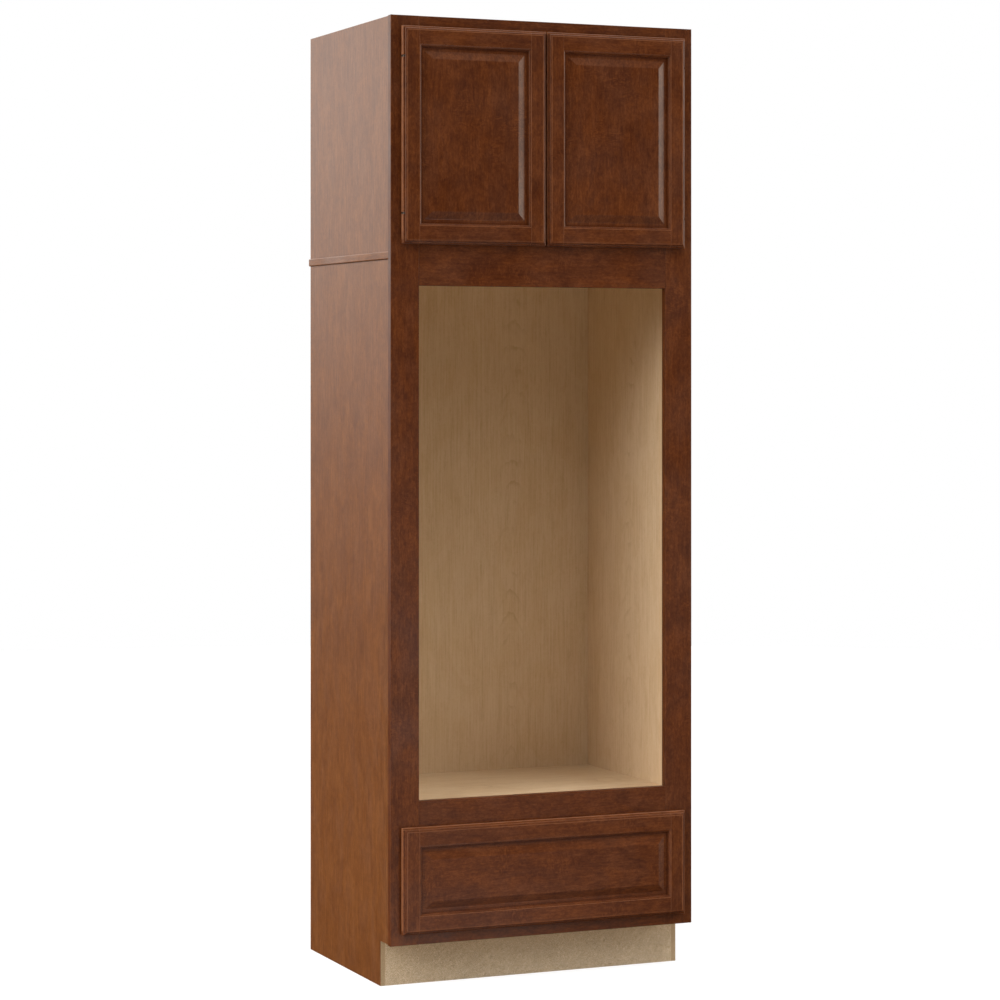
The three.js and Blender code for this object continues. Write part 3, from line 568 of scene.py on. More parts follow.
@dataclass(frozen=True)
class Chipboard:
    """Raw particle board: pale glue-bound chips of several sizes.

    Attributes:
        name: Name of the finish.
        body: Main colour.
        dark: Colour of bark flecks and gaps.
        pale: Colour of pale chips.
        speckle: Contrast of the chips.
        chip: Size of the largest chips.
        rough: Roughness of the board.
    """

    name: str
    body: Colour
    dark: Colour
    pale: Colour
    speckle: float = 0.6
    chip: float = 2.4 * MM
    rough: float = 0.85

    def colour(self, paint: Paint) -> tuple[Value, Value]:
        """Add the chips to a node tree.

        Args:
            paint: The tree.

        Returns:
            The colour and the height of the surface.
        """
        at = paint.position()
        scatter = paint.noise(at, CHIP_SCATTER)
        scattered = paint.vector("ADD", at, paint.merge(scatter, scatter, scatter))
        cells = {"Vector": scattered, "Scale": 1.0 / self.chip}
        middle = paint.node("ShaderNodeTexVoronoi", cells, "Distance")
        chips = paint.split(Value(paint, middle.socket.node.outputs["Color"]))[0]
        dust = paint.noise(at, WOOD_DUST)
        tone = paint.blend(chips.rise(0.55, 1.0, 0.0, self.speckle), self.body, self.pale)
        tone = paint.blend(chips.rise(0.22, 0.0, 0.0, self.speckle), tone, self.dark)
        tone = paint.blend(dust.rise(0.45, 0.3, 0.0, self.speckle * 0.7), tone, self.dark)
        tone = paint.blend(paint.noise(at, BOARD_CLOUDS).rise(0.45, 0.7, 0.0, 0.1), tone, self.dark)
        return tone, dust - middle

    def material(self) -> bpy.types.Material:
        """Return the finish.

        Returns:
            The material.
        """
        paint = Paint(self.name)
        tone, height = self.colour(paint)
        bump = paint.bump(height, 0.3, 0.15 * MM)
        return paint.finish({"Base Color": tone, "Roughness": self.rough, "Normal": bump})


@dataclass(frozen=True)
class Laminated:
    """Particle board with a skin on one or both faces, seen raw on its edges.

    Attributes:
        name: Name of the finish.
        across: Axis through the board's thickness.
        low_skin: Finish of the face at the lower coordinate, if any.
        high_skin: Finish of the face at the higher coordinate, if any.
        skin: Thickness of a skin.
        sheen: How strongly the board reflects.
    """

    name: str
    across: Axis
    low_skin: Optional[Wood]
    high_skin: Optional[Wood]
    skin: float = 0.5 * MM
    sheen: float = 0.25

    def material(self, board: Board) -> bpy.types.Material:
        """Return the finish for one board.

        Args:
            board: The board.

        Returns:
            The material.
        """
        paint = Paint(f"{self.name}_{board.seed}")
        tone, height = RAW_BOARD.colour(paint)
        rough: Term = RAW_BOARD.rough
        through = paint.split(paint.position())[self.across.value]
        faces = (
            (self.low_skin, "LESS_THAN", board.low[self.across.value] + self.skin),
            (self.high_skin, "GREATER_THAN", board.high[self.across.value] - self.skin),
        )
        for wood, side, limit in faces:
            if wood is None:
                continue
            on_skin = paint.math(side, through, limit)
            skin_tone, skin_height = wood.colour(paint, board)
            tone = paint.blend(on_skin, tone, skin_tone)
            height = on_skin * (skin_height - height) + height
            rough = on_skin * (wood.rough - rough) + rough
        feeds = {
            "Base Color": tone,
            "Roughness": rough,
            "Specular IOR Level": self.sheen,
            "Specular Tint": LACQUER_TINT,
            "Normal": paint.bump(height, 0.2, 0.06 * MM),
        }
        return paint.finish(feeds)


@dataclass(frozen=True)
class Metal:
    """Plated or painted steel.

    Attributes:
        name: Name of the finish.
        colour: Its colour.
        rough: Its roughness.
        bare: How far it shows as metal, not as paint.
        dulling: Brightness of its dull clouds, as a share of its own.
    """

    name: str
    colour: Colour
    rough: float
    bare: float = 1.0
    dulling: float = 0.72

    def material(self) -> bpy.types.Material:
        """Return the finish, with the faint cloudiness of plating and fine rolling marks.

        Returns:
            The material.
        """
        paint = Paint(self.name)
        at = paint.position()
        cloud = paint.noise(at, PLATING_CLOUDS)
        marks = paint.noise(at, ROLLING_MARKS)
        dull = tuple(part * self.dulling for part in self.colour)
        rough = cloud.rise(0.3, 0.7, self.rough, self.rough + 0.12) + marks.rise(0.3, 0.7, 0.0, 0.08)
        feeds = {
            "Base Color": paint.blend(cloud.rise(0.35, 0.7), self.colour, dull),
            "Roughness": rough,
            "Metallic": self.bare,
            "Normal": paint.bump(marks, 0.15, 0.02 * MM),
        }
        return paint.finish(feeds)


@dataclass(frozen=True)
class SoftPlastic:
    """Clear soft plastic of the bumpers.

    Attributes:
        name: Name of the finish.
        colour: Its colour.
        dulling: Brightness of its dull clouds, as a share of its own.
    """

    name: str = "bumper_plastic"
    colour: Colour = (0.62, 0.62, 0.58)
    dulling: float = 0.85

    def material(self) -> bpy.types.Material:
        """Return the finish, slightly cloudy.

        Returns:
            The material.
        """
        paint = Paint(self.name)
        cloud = paint.noise(paint.position(), PLASTIC_CLOUDS)
        dull = tuple(part * self.dulling for part in self.colour)
        feeds = {
            "Base Color": paint.blend(cloud.rise(0.3, 0.7), self.colour, dull),
            "Roughness": 0.35,
            "Transmission Weight": 0.35,
            "Normal": paint.bump(cloud, 0.1, 0.05 * MM),
        }
        return paint.finish(feeds)


STAINED_MAPLE = Wood(
    name="stained_maple",
    body=(0.087, 0.0215, 0.0046),
    deep=(0.050, 0.0098, 0.0020),
    light=(0.133, 0.0365, 0.0088),
    flush=(0.90, 0.95, 1.25),
    rubbed_and_highlight=(0.230, 0.0880, 0.0390),
    streaks=0.2,
    clouds=0.22,
    figure=0.6,
    wear=0.35,
    rough=0.34,
)
STAINED_VENEER = Wood(
    name="stained_veneer",
    body=(0.142, 0.0465, 0.0108),
    deep=(0.095, 0.0270, 0.0056),
    light=(0.198, 0.0720, 0.0200),
    flush=(0.95, 1.00, 1.30),
    rubbed_and_highlight=(0.240, 0.0980, 0.0450),
    streaks=0.25,
    clouds=0.17,
    figure=0.3,
    wear=0.25,
    rough=0.34,
    run=0.06,
)
NATURAL_MAPLE = Wood(
    name="natural_maple",
    body=(0.675, 0.5100, 0.3280),
    deep=(0.497, 0.3360, 0.1840),
    light=(0.765, 0.6170, 0.4330),
    flush=(0.97, 0.95, 0.91),
    rubbed_and_highlight=(0.650, 0.4900, 0.3000),
    streaks=0.11,
    clouds=0.055,
    rings=0.6,
    figure=0.08,
    wear=0.2,
    rough=0.48,
    run=0.02,
)
DRAWER_MAPLE = Wood(
    name="drawer_maple",
    body=(0.620, 0.4500, 0.2600),
    deep=(0.460, 0.3000, 0.1500),
    light=(0.720, 0.5600, 0.3700),
    flush=(0.97, 0.95, 0.90),
    rubbed_and_highlight=(0.700, 0.5500, 0.3700),
    streaks=0.18,
    clouds=0.14,
    rings=0.3,
    figure=0.25,
    wear=0.2,
    rough=0.42,
)
RAW_BOARD = Chipboard(
    name="raw_board",
    body=(0.420, 0.300, 0.1800),
    dark=(0.210, 0.130, 0.0650),
    pale=(0.580, 0.450, 0.3000),
)
TOE_BOARD = Chipboard(
    name="toe_board",
    body=(0.560, 0.420, 0.2650),
    dark=(0.220, 0.145, 0.0750),
    pale=(0.860, 0.730, 0.5600),
    speckle=1.0,
    chip=7.5 * MM,
)
ZINC_STEEL = Metal(name="zinc_steel", colour=(0.62, 0.63, 0.64), rough=0.3)
BRONZED_STEEL = Metal(name="bronzed_steel", colour=(0.085, 0.055, 0.040), rough=0.45, bare=0.3)
SCREW_STEEL = Metal(name="screw_steel", colour=(0.55, 0.55, 0.54), rough=0.25)


# ---- mesh work ---------------------------------------------------------------------------------------


def moulding_normals() -> bpy.types.NodeTree:
    """Make a modifier tree that welds a faceted mesh and lets its round faces shade smooth.

    Returns:
        The tree.
    """
    tree = bpy.data.node_groups.new("welded_facets", "GeometryNodeTree")
    for way in ("INPUT", "OUTPUT"):
        tree.interface.new_socket("Geometry", in_out=way, socket_type="NodeSocketGeometry")
    kinds = ("NodeGroupInput", "GeometryNodeMergeByDistance", "GeometryNodeSetMeshNormal", "NodeGroupOutput")
    chain = [tree.nodes.new(kind) for kind in kinds]
    weld, normals = chain[1:3]
    weld.inputs["Distance"].default_value = 0.01 * MM
    normals.mode = "SHARPNESS"
    normals.inputs["Remove Custom"].default_value = True
    normals.inputs["Edge Sharpness"].default_value = False
    normals.inputs["Face Sharpness"].default_value = False
    for before, after in zip(chain, chain[1:]):
        tree.links.new(before.outputs[0], after.inputs[0])
    return tree


WELDED_FACETS = moulding_normals()
SHARP = math.radians(28)


def break_arrises(piece: bpy.types.Object, width: float, sharp: float) -> None:
    """Round the sharp edges of a piece a little and let its curved faces shade smooth.

    Args:
        piece: The piece. Its own mesh stays as it is.
        width: Width of the rounding.
        sharp: Least angle between the faces at an edge that is rounded.
    """
    weld = piece.modifiers.new("welded_facets", "NODES")
    weld.node_group = WELDED_FACETS
    bevel = piece.modifiers.new("broken_arrises", "BEVEL")
    bevel.width = width
    bevel.segments = 2
    bevel.limit_method = "ANGLE"
    bevel.angle_limit = sharp
    weighted = piece.modifiers.new("flat_faces", "WEIGHTED_NORMAL")
    weighted.mode = "FACE_AREA"
    weighted.weight = 80


def dress(node: str, material: bpy.types.Material, arris: float = 0.0, sharp: float = SHARP) -> None:
    """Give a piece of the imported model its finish.

    Args:
        node: Name of the piece.
        material: The finish.
        arris: Width of the rounding of its edges, if any.
        sharp: Least angle of an edge that is rounded.
    """
    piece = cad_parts[node]
    for slot in piece.material_slots:
        slot.material = material
    if not piece.material_slots:
        piece.data.materials.append(material)
    if arris > 0.0:
        break_arrises(piece, arris, sharp)
    LOG.info("%s: %s", node, material.name)


def clad(node: str, finish: Finish, grain: Grain, arris: float = 0.0, **traits: float) -> None:
    """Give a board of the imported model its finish. The traits are those of Board.of."""
    dress(node, finish.material(Board.of(node, grain, **traits)), arris)


def finished(name: str, form: bmesh.types.BMesh, material: bpy.types.Material, body: str) -> None:
    """Make an object of a finished mesh and let it ride on a body.

    Args:
        name: Name of the piece.
        form: Its mesh, in place. It is freed here.
        material: Its finish.
        body: The body that it rides on.
    """
    mesh = bpy.data.meshes.new(name)
    bmesh.ops.recalc_face_normals(form, faces=form.faces[:])
    form.to_mesh(mesh)
    form.free()
    mesh.materials.append(material)
    piece = bpy.data.objects.new(name, mesh)
    bpy.context.scene.collection.objects.link(piece)
    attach(piece, body)
    LOG.info("%s: %s, on %s", name, material.name, body)


def stand(form: bmesh.types.BMesh, verts: Verts, at: Vector, facing: Vector, turn: float = 0.0) -> None:
    """Turn part of a mesh from facing +Z to another way, and move it into place.

    Args:
        form: The mesh.
        verts: The vertices of the part.
        at: Where its origin goes.
        facing: Where its +Z goes.
        turn: Turn about its own axis first, in radians.
    """
    rotation = facing.to_track_quat("Z", "Y").to_matrix().to_4x4()
    place = Matrix.Translation(at) @ rotation @ Matrix.Rotation(turn, 4, "Z")
    bmesh.ops.transform(form, matrix=place, verts=verts)


def new_verts(made: dict[str, list]) -> Verts:
    """Return the vertices among what an extrusion made."""
    return [item for item in made["geom"] if isinstance(item, bmesh.types.BMVert)]


@dataclass(frozen=True)
class ScrewHead:
    """Head of a cross-recessed wood screw, seated in its hole.

    Attributes:
        radius: Radius of the head.
        height: How far it stands proud.
        dome: How far its rim falls off, as a share of its height.
        reach: Half the length of the recess, as a share of the radius.
        slot: Half the width of the recess, as a share of the radius.
        depth: Depth of the recess, as a share of the radius.
        neck: Radius of the head's foot, as a share of the radius.
        foot: How deep the foot sits in the hole.
    """

    radius: float
    height: float
    dome: float = 0.0
    reach: float = 0.42
    slot: float = 0.13
    depth: float = 0.28
    neck: float = 0.9
    foot: float = 0.3 * MM

    def add(self, form: bmesh.types.BMesh, at: Vector, facing: Vector, turn: float) -> None:
        """Add one head to a mesh.

        Args:
            form: The mesh.
            at: Centre of the head on the surface that it is driven into.
            facing: Outward normal of that surface.
            turn: How far the recess is turned.
        """
        ticks = [-1.0, -self.reach, -self.slot, self.slot, self.reach, 1.0]
        last = len(ticks) - 1
        verts = bmesh.ops.create_grid(form, x_segments=last, y_segments=last, size=1.0)["verts"]
        for vert in verts:
            column, row = (round((part + 1.0) * last / 2) for part in vert.co.xy)
            vert.co = Vector((ticks[column], ticks[row], 0.0))
            if column in (0, last) or row in (0, last):
                angle = math.atan2(row - last / 2, column - last / 2)
                vert.co = Vector((math.cos(angle), math.sin(angle), 0.0))
            rise = self.height * (1.0 - self.dome * vert.co.length_squared)
            vert.co = Vector((vert.co.x * self.radius, vert.co.y * self.radius, rise))
        cross = [face for face in {f for v in verts for f in v.link_faces} if self.in_recess(face)]
        rim = [edge for edge in {e for v in verts for e in v.link_edges} if edge.is_boundary]
        skirt = new_verts(bmesh.ops.extrude_edge_only(form, edges=rim))
        for vert in skirt:
            vert.co = Vector((vert.co.x * self.neck, vert.co.y * self.neck, -self.foot))
        pressed = new_verts(bmesh.ops.extrude_face_region(form, geom=cross))
        bmesh.ops.delete(form, geom=cross, context="FACES_ONLY")
        bmesh.ops.translate(form, vec=(0, 0, -self.depth * self.radius), verts=pressed)
        open_edges = [e for e in {e for v in skirt for e in v.link_edges} if e.is_boundary]
        bmesh.ops.contextual_create(form, geom=open_edges)
        stand(form, verts + skirt + pressed, at, facing, turn)

    def in_recess(self, face: bmesh.types.BMFace) -> bool:
        """Tell whether a face of the head lies in its recess.

        Args:
            face: The face.

        Returns:
            Whether it does.
        """
        slack = 0.02
        width = (self.slot + slack) * self.radius
        reach = (self.reach + slack) * self.radius
        sizes = [sorted((abs(vert.co.x), abs(vert.co.y))) for vert in face.verts]
        return all(small < width and large < reach for small, large in sizes)


@dataclass(frozen=True)
class Bumper:
    """A soft domed bumper that faces +Y.

    Attributes:
        radius: Its radius.
        height: Its height.
        rings: Radius of each ring over its foot, and its rise over the last, as shares of those.
    """

    radius: float = 4.2 * MM
    height: float = 2.2 * MM
    rings: tuple[tuple[float, float], ...] = ((1.0, 0.45), (0.9, 0.35), (0.62, 0.2))

    def add(self, form: bmesh.types.BMesh, at: Vector) -> None:
        """Add one bumper to a mesh.

        Args:
            form: The mesh.
            at: Its middle on the face that it is stuck to.
        """
        verts = bmesh.ops.create_circle(form, cap_ends=True, segments=20, radius=self.radius)["verts"]
        face = verts[0].link_faces[0]
        for grow, lift in self.rings:
            top = bmesh.ops.extrude_face_region(form, geom=[face])
            raised = new_verts(top)
            face = next(item for item in top["geom"] if isinstance(item, bmesh.types.BMFace))
            middle = sum((v.co for v in raised), Vector()) / len(raised)
            for vert in raised:
                out = (vert.co - middle).normalized() * self.radius * grow
                vert.co = middle + out + Vector((0, 0, lift * self.height))
            verts += raised
        bmesh.ops.recalc_face_normals(form, faces=form.faces[:])
        stand(form, verts, at, BACKWARDS)


def drive(name: str, places: list[tuple[Vector, Vector]], head: ScrewHead, body: str, seed: int) -> None:
    """Make one piece of all the screw heads of a group.

    Args:
        name: Name of the piece.
        places: Where each head sits and which way it faces.
        head: The head.
        body: The body that they ride on.
        seed: Seed of their turns.
    """
    draw = random.Random(seed)
    form = bmesh.new()
    for at, facing in places:
        head.add(form, at, facing, draw.uniform(0.0, math.pi / 2))
    finished(name, form, SCREW_STEEL.material(), body)


def stick(name: str, places: Iterable[Vector], body: str) -> None:
    """Make one piece of all the bumpers of a front.

    Args:
        name: Name of the piece.
        places: Where each bumper sits.
        body: The body that they ride on.
    """
    form = bmesh.new()
    for at in places:
        Bumper().add(form, at)
    finished(name, form, SoftPlastic().material(), body)


# ---- sub-assemblies ----------------------------------------------------------------------------------


@dataclass
class Carcass:
    """The box: sides, back, floors, shelf, top, toe board and the pieces that tie them.

    Attributes:
        body: The body that it is.
        level_boards: Its boards that lie flat.
        arris: Rounding of its board edges.
        strip_arris: Rounding of the strips over the seam.
        back_heart: How far the back's arched rings lie from its middle.
        staple_pitch: Distance between the staples of the back panel.
        staple_inset: How far they lie from its side edges.
        staple_crown: Length of a staple's crown.
        staple_wire: Thickness of its wire.
    """

    body: str = "cabinet"
    level_boards: tuple[str, ...] = (
        "floor_panel",
        "oven_deck",
        "cupboard_floor",
        "cupboard_shelf",
        "top_panel",
    )
    arris: float = 0.25 * MM
    strip_arris: float = 0.3 * MM
    back_heart: float = 0.15
    staple_pitch: float = 140 * MM
    staple_inset: float = 3.2 * MM
    staple_crown: float = 11 * MM
    staple_wire: float = 1.3 * MM

    def dress(self) -> None:
        """Finish every board of the carcass."""
        splice = Laminated("laminated_splice", Axis.X, NATURAL_MAPLE, NATURAL_MAPLE)
        level = Laminated("laminated_floor", Axis.Z, NATURAL_MAPLE, NATURAL_MAPLE)
        back = Laminated("laminated_back", Axis.Y, NATURAL_MAPLE, None)
        for hand, sign in HANDS.items():
            # The veneer is on the outer face, which is the lower one on the left.
            skins = (STAINED_VENEER, NATURAL_MAPLE)[::-sign]
            side = Laminated("laminated_side", Axis.X, *skins)
            clad(f"{hand}_side_lower", side, Grain.UP, self.arris)
            clad(f"{hand}_side_upper", side, Grain.UP, self.arris)
            clad(f"{hand}_seam_strip", STAINED_VENEER, Grain.DEEP, self.strip_arris)
            clad(f"{hand}_side_splice", splice, Grain.DEEP, self.arris)
            clad(f"{hand}_deck_cleat", NATURAL_MAPLE, Grain.DEEP, self.arris)
        for node in self.level_boards:
            clad(node, level, Grain.ACROSS, self.arris)
        clad("back_panel", back, Grain.UP, self.arris, heart=self.back_heart)
        clad("top_nailer", NATURAL_MAPLE, Grain.ACROSS, self.arris)
        dress("toe_board", TOE_BOARD.material(), self.arris)

    def staples(self) -> None:
        """Staple the back panel to the rabbets and to the level boards."""
        low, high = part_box("back_panel")
        size = high - low
        rows = round(size.z / self.staple_pitch)
        columns = round(size.x / self.staple_pitch)
        form = bmesh.new()
        for x in (low.x + self.staple_inset, high.x - self.staple_inset):
            for step in range(1, rows):
                self.staple(form, Vector((x, high.y, low.z + size.z * step / rows)), True)
        for node in self.level_boards:
            under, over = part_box(node)
            for step in range(1, columns):
                x = low.x + size.x * step / columns
                self.staple(form, Vector((x, high.y, (under.z + over.z) / 2)), False)
        finished("back_panel_staples", form, SCREW_STEEL.material(), self.body)

    def staple(self, form: bmesh.types.BMesh, at: Vector, upright: bool) -> None:
        """Add the crown of one staple, pressed nearly flush.

        Args:
            form: The mesh.
            at: Its middle on the board's face.
            upright: Whether its crown stands upright.
        """
        half = self.staple_wire / 2
        across, along = self.staple_wire, self.staple_crown
        size = (across, half, along) if upright else (along, half, across)
        cube = bmesh.ops.create_cube(form, size=1.0)["verts"]
        bmesh.ops.scale(form, vec=size, verts=cube)
        edges = list({e for v in cube for e in v.link_edges})
        rounding = half * 0.3
        rounded = bmesh.ops.bevel(
            form, geom=edges, offset=rounding, segments=2, profile=0.5, affect="EDGES", material=-1
        )
        verts = list({v for f in rounded["faces"] for v in f.verts})
        bmesh.ops.translate(form, vec=at - Vector((0, half * 0.55, 0)), verts=verts)


@dataclass
class FaceFrame:
    """Stiles and rails of the face frame.

    Attributes:
        arris: Rounding of their edges.
        rails: Its rails.
    """

    arris: float = 0.3 * MM
    rails: tuple[str, ...] = ("top_rail", "middle_rail", "lower_rail", "bottom_rail")

    def dress(self) -> None:
        """Finish every member, grain along its length."""
        for hand in HANDS:
            clad(f"{hand}_frame_stile", STAINED_MAPLE, Grain.UP, self.arris, worn=False)
        for node in self.rails:
            clad(node, STAINED_MAPLE, Grain.ACROSS, self.arris, worn=False)


@dataclass
class Front:
    """A door or drawer front of five pieces.

    Attributes:
        name: First words of its pieces' names.
        panel_grain: Grain of its raised panel.
        stile: Width of a stile.
        rail: Width of a rail.
        sticking: Width of the bead round the panel.
        bead: Insets of the edge moulding's arrises, which carry the pale lines. The middle one has its line at
            top and bottom alone.
        rubbed_highlight_line: Half the width of a pale line on the edge moulding, part rubbed stain and part
            painted highlight.
        rubbed_highlight_stick: Half the width of such a line on the bead round the panel.
        shade: How much of that line shows on the top rail, whose bead faces down, so that its painted highlight
            is dimmed as painted shade.
        foot: Heights over the front's foot between which the lines set in; below them the bottom edge faces
            down, and its painted highlight is dimmed as painted shade.
        groove_shade: How far the painted shade in the panel's groove reaches, from faint to full.
        arris: Rounding of the edges.
        panel_sharp: Least angle of an edge of the raised panel that is rounded.
    """

    name: str
    panel_grain: Grain
    stile: float = 50.5 * MM
    rail: float = 53 * MM
    sticking: float = 7 * MM
    bead: tuple[float, ...] = (0.4 * MM, 4.6 * MM, 10.6 * MM)
    rubbed_highlight_line: float = 1.2 * MM
    rubbed_highlight_stick: float = 1.0 * MM
    shade: float = 0.15
    foot: tuple[float, float] = (9 * MM, 14 * MM)
    groove_shade: tuple[float, float] = (6 * MM, 0.5 * MM)
    arris: float = 0.25 * MM
    panel_sharp: float = math.radians(12)

    def dress(self) -> None:
        """Finish the five pieces, each a board of its own."""
        low, high = self.outline()
        for hand in HANDS:
            self.member(f"{self.name}_{hand}_stile", Grain.UP, low, high)
        for end in ENDS:
            self.member(f"{self.name}_{end}_rail", Grain.ACROSS, low, high)
        self.panel(low, high)

    def outline(self) -> tuple[Vector, Vector]:
        """Return the lowest and highest corner of the whole front."""
        boxes = [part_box(f"{self.name}_{hand}_stile") for hand in HANDS]
        return boxes[0][0], boxes[1][1]

    def member(self, node: str, grain: Grain, low: Vector, high: Vector) -> None:
        """Finish a stile or rail: pale lines on the arrises of both mouldings, part rubbed stain and part
        painted highlight.

        Args:
            node: Name of the piece.
            grain: Direction of its grain.
            low: Lowest corner of the front.
            high: Highest corner of the front.
        """
        board = Board.of(node, grain, worn=False)
        paint = Paint(f"moulded_{node}")
        tone, height = STAINED_MAPLE.colour(paint, board)
        side, _, end = paint.inside(low, high)
        over_foot = paint.split(paint.position())[2] - low.z
        # Pale lines on the mouldings' arrises, part rubbed stain and part painted highlight; near the foot,
        # where the edge faces down, they are dimmed as painted shade.
        outer = side.least(end).lines(self.bead[::2], self.rubbed_highlight_line)
        outer = outer.most(end.lines(self.bead[1:2], self.rubbed_highlight_line)) * over_foot.rise(*self.foot, 0.1, 1.0)
        own, width = (side, self.stile) if grain is Grain.UP else (end, self.rail)
        # The top rail's bead faces down, so its painted highlight is mostly left out there, as painted shade.
        shown = self.shade if node.endswith("top_rail") else 1.0
        inner = own.lines((width - self.sticking,), self.rubbed_highlight_stick) * shown
        broken = paint.noise(board.along_grain(paint), RUBBED_HIGHLIGHT_GAPS).rise(0.3, 0.62, 0.45, 0.85)
        tone = paint.blend(outer.most(inner) * broken, tone, STAINED_MAPLE.rubbed_and_highlight)
        dress(node, STAINED_MAPLE.lacquer(paint, tone, height), self.arris)

    def panel(self, low: Vector, high: Vector) -> None:
        """Finish the raised panel: crisp where the bevel meets the field, with painted shade darkening it
        towards the groove.

        Args:
            low: Lowest corner of the front.
            high: Highest corner of the front.
        """
        node = f"{self.name}_panel"
        paint = Paint(f"raised_{node}")
        tone, height = STAINED_MAPLE.colour(paint, Board.of(node, self.panel_grain, worn=False))
        side, _, end = paint.inside(low, high)
        # Painted shade: the panel darkens towards the groove under the beads of the stiles and rails.
        painted_groove_shade = (side - self.stile).least(end - self.rail).rise(*self.groove_shade, 0.0, 0.6)
        tone = paint.blend(painted_groove_shade, tone, STAINED_MAPLE.deep)
        dress(node, STAINED_MAPLE.lacquer(paint, tone, height), self.arris, self.panel_sharp)


@dataclass
class Door:
    """One cupboard door with its two hinges.

    Attributes:
        hand: Which side it hangs on.
        front: Its five pieces.
        leaf_arris: Rounding of the hinge leaves' edges.
        head: Head of a hinge screw.
        screw_inset: How far a screw lies from its leaf's edges.
        plate: Thickness of a leaf's plate.
        bumper_inset: How far a bumper lies from the latch edge.
    """

    hand: str
    front: Front
    leaf_arris: float = 0.15 * MM
    head: ScrewHead = ScrewHead(radius=2.9 * MM, height=0.12 * MM)
    screw_inset: float = 7 * MM
    plate: float = 1.5 * MM
    bumper_inset: float = 12 * MM

    def dress(self) -> None:
        """Finish the door and its hinges."""
        self.front.dress()
        bronze = BRONZED_STEEL.material()
        for end in ENDS:
            for leaf in ("frame", "door"):
                dress(f"{self.hand}_{end}_hinge_{leaf}_leaf", bronze, self.leaf_arris)

    def fixings(self) -> None:
        """Drive two screws through each hinge leaf."""
        sign = HANDS[self.hand]
        leaves = (
            ("frame", "cabinet", -BACKWARDS, self.plate),
            ("door", f"{self.hand}_door", BACKWARDS, 0.0),
        )
        for leaf, body, facing, before in leaves:
            places = []
            for end in ENDS:
                low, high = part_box(f"{self.hand}_{end}_hinge_{leaf}_leaf")
                x = (high.x if sign < 0 else low.x) + sign * self.screw_inset
                for z in (low.z + self.screw_inset, high.z - self.screw_inset):
                    places.append((Vector((x, high.y - before, z)), facing))
            drive(f"{self.hand}_hinge_{leaf}_screws", places, self.head, body, 11)

    def bumpers(self) -> None:
        """Stick a soft bumper on each latch corner of the door's back, where it meets the frame."""
        low, high = self.front.outline()
        sign = HANDS[self.hand]
        x = (high.x if sign < 0 else low.x) + sign * self.bumper_inset
        rail_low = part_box("middle_rail")[1].z
        rail_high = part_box("top_rail")[0].z
        heights = ((low.z + rail_low) / 2, (high.z + rail_high) / 2)
        stick(f"{self.hand}_door_bumpers", [Vector((x, high.y, z)) for z in heights], f"{self.hand}_door")


@dataclass
class Drawer:
    """The drawer: its front, its dovetailed box and what fastens them.

    Attributes:
        front: Its five-piece front.
        body: The body that it is.
        head: Head of a screw that holds the front.
        screw_inset: How far a screw lies from the box front's ends.
        screw_rise: How far the lower screws lie over its foot.
        screw_drop: How far the upper screws lie under its top.
        bumper_inset: How far a bumper lies from the front's side edges.
    """

    front: Front
    body: str = "drawer"
    head: ScrewHead = ScrewHead(radius=5 * MM, height=1.8 * MM, dome=0.6)
    screw_inset: float = 110 * MM
    screw_rise: float = 50 * MM
    screw_drop: float = 45 * MM
    bumper_inset: float = 60 * MM

    def dress(self) -> None:
        """Finish the front and the box."""
        self.front.dress()
        for hand in HANDS:
            clad(f"drawer_box_{hand}_side", DRAWER_MAPLE, Grain.DEEP)
        for node in ("drawer_box_front", "drawer_box_back"):
            clad(node, DRAWER_MAPLE, Grain.ACROSS)
        bottom = Laminated("laminated_bottom", Axis.Z, DRAWER_MAPLE, DRAWER_MAPLE)
        clad("drawer_box_bottom", bottom, Grain.ACROSS)

    def fixings(self) -> None:
        """Drive the screws that hold the front, from inside the box."""
        low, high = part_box("drawer_box_front")
        places = []
        for x in (low.x + self.screw_inset, high.x - self.screw_inset):
            for z in (low.z + self.screw_rise, high.z - self.screw_drop):
                places.append((Vector((x, high.y, z)), BACKWARDS))
        drive("drawer_front_screws", places, self.head, self.body, 5)

    def bumpers(self) -> None:
        """Stick soft bumpers on the upper corners of the front's back, where it meets the frame."""
        low, high = self.front.outline()
        z = (high.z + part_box("lower_rail")[0].z) / 2
        columns = (low.x + self.bumper_inset, high.x - self.bumper_inset)
        stick("drawer_front_bumpers", [Vector((x, high.y, z)) for x in columns], self.body)


@dataclass
class Slides:
    """The two drawer slides with their rear sockets.

    Attributes:
        arris: Rounding of their edges.
        steel: Thickness of their steel.
        head: Head of a screw in the drawer member.
        shares: Where the screws sit, as shares of its length.
    """

    arris: float = 0.2 * MM
    steel: float = 1.2 * MM
    head: ScrewHead = ScrewHead(radius=3.2 * MM, height=0.4 * MM, dome=0.6)
    shares: tuple[float, ...] = (0.08, 0.5, 0.92)

    def dress(self) -> None:
        """Finish the members and the sockets."""
        zinc = ZINC_STEEL.material()
        for hand in HANDS:
            for part in ("cabinet_member", "middle_member", "drawer_member", "rear_socket"):
                dress(f"{hand}_slide_{part}", zinc, self.arris)

    def fixings(self) -> None:
        """Drive the screws that hold the drawer members on the box."""
        for hand, sign in HANDS.items():
            low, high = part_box(f"{hand}_slide_drawer_member")
            web = (high.x if sign < 0 else low.x) + sign * self.steel
            z = (low.z + high.z) / 2
            facing = Vector((sign, 0, 0))
            places = [(Vector((web, low.y + (high.y - low.y) * share, z)), facing) for share in self.shares]
            drive(f"{hand}_slide_screws", places, self.head, "drawer", 7)


# ---- studio ------------------------------------------------------------------------------------------


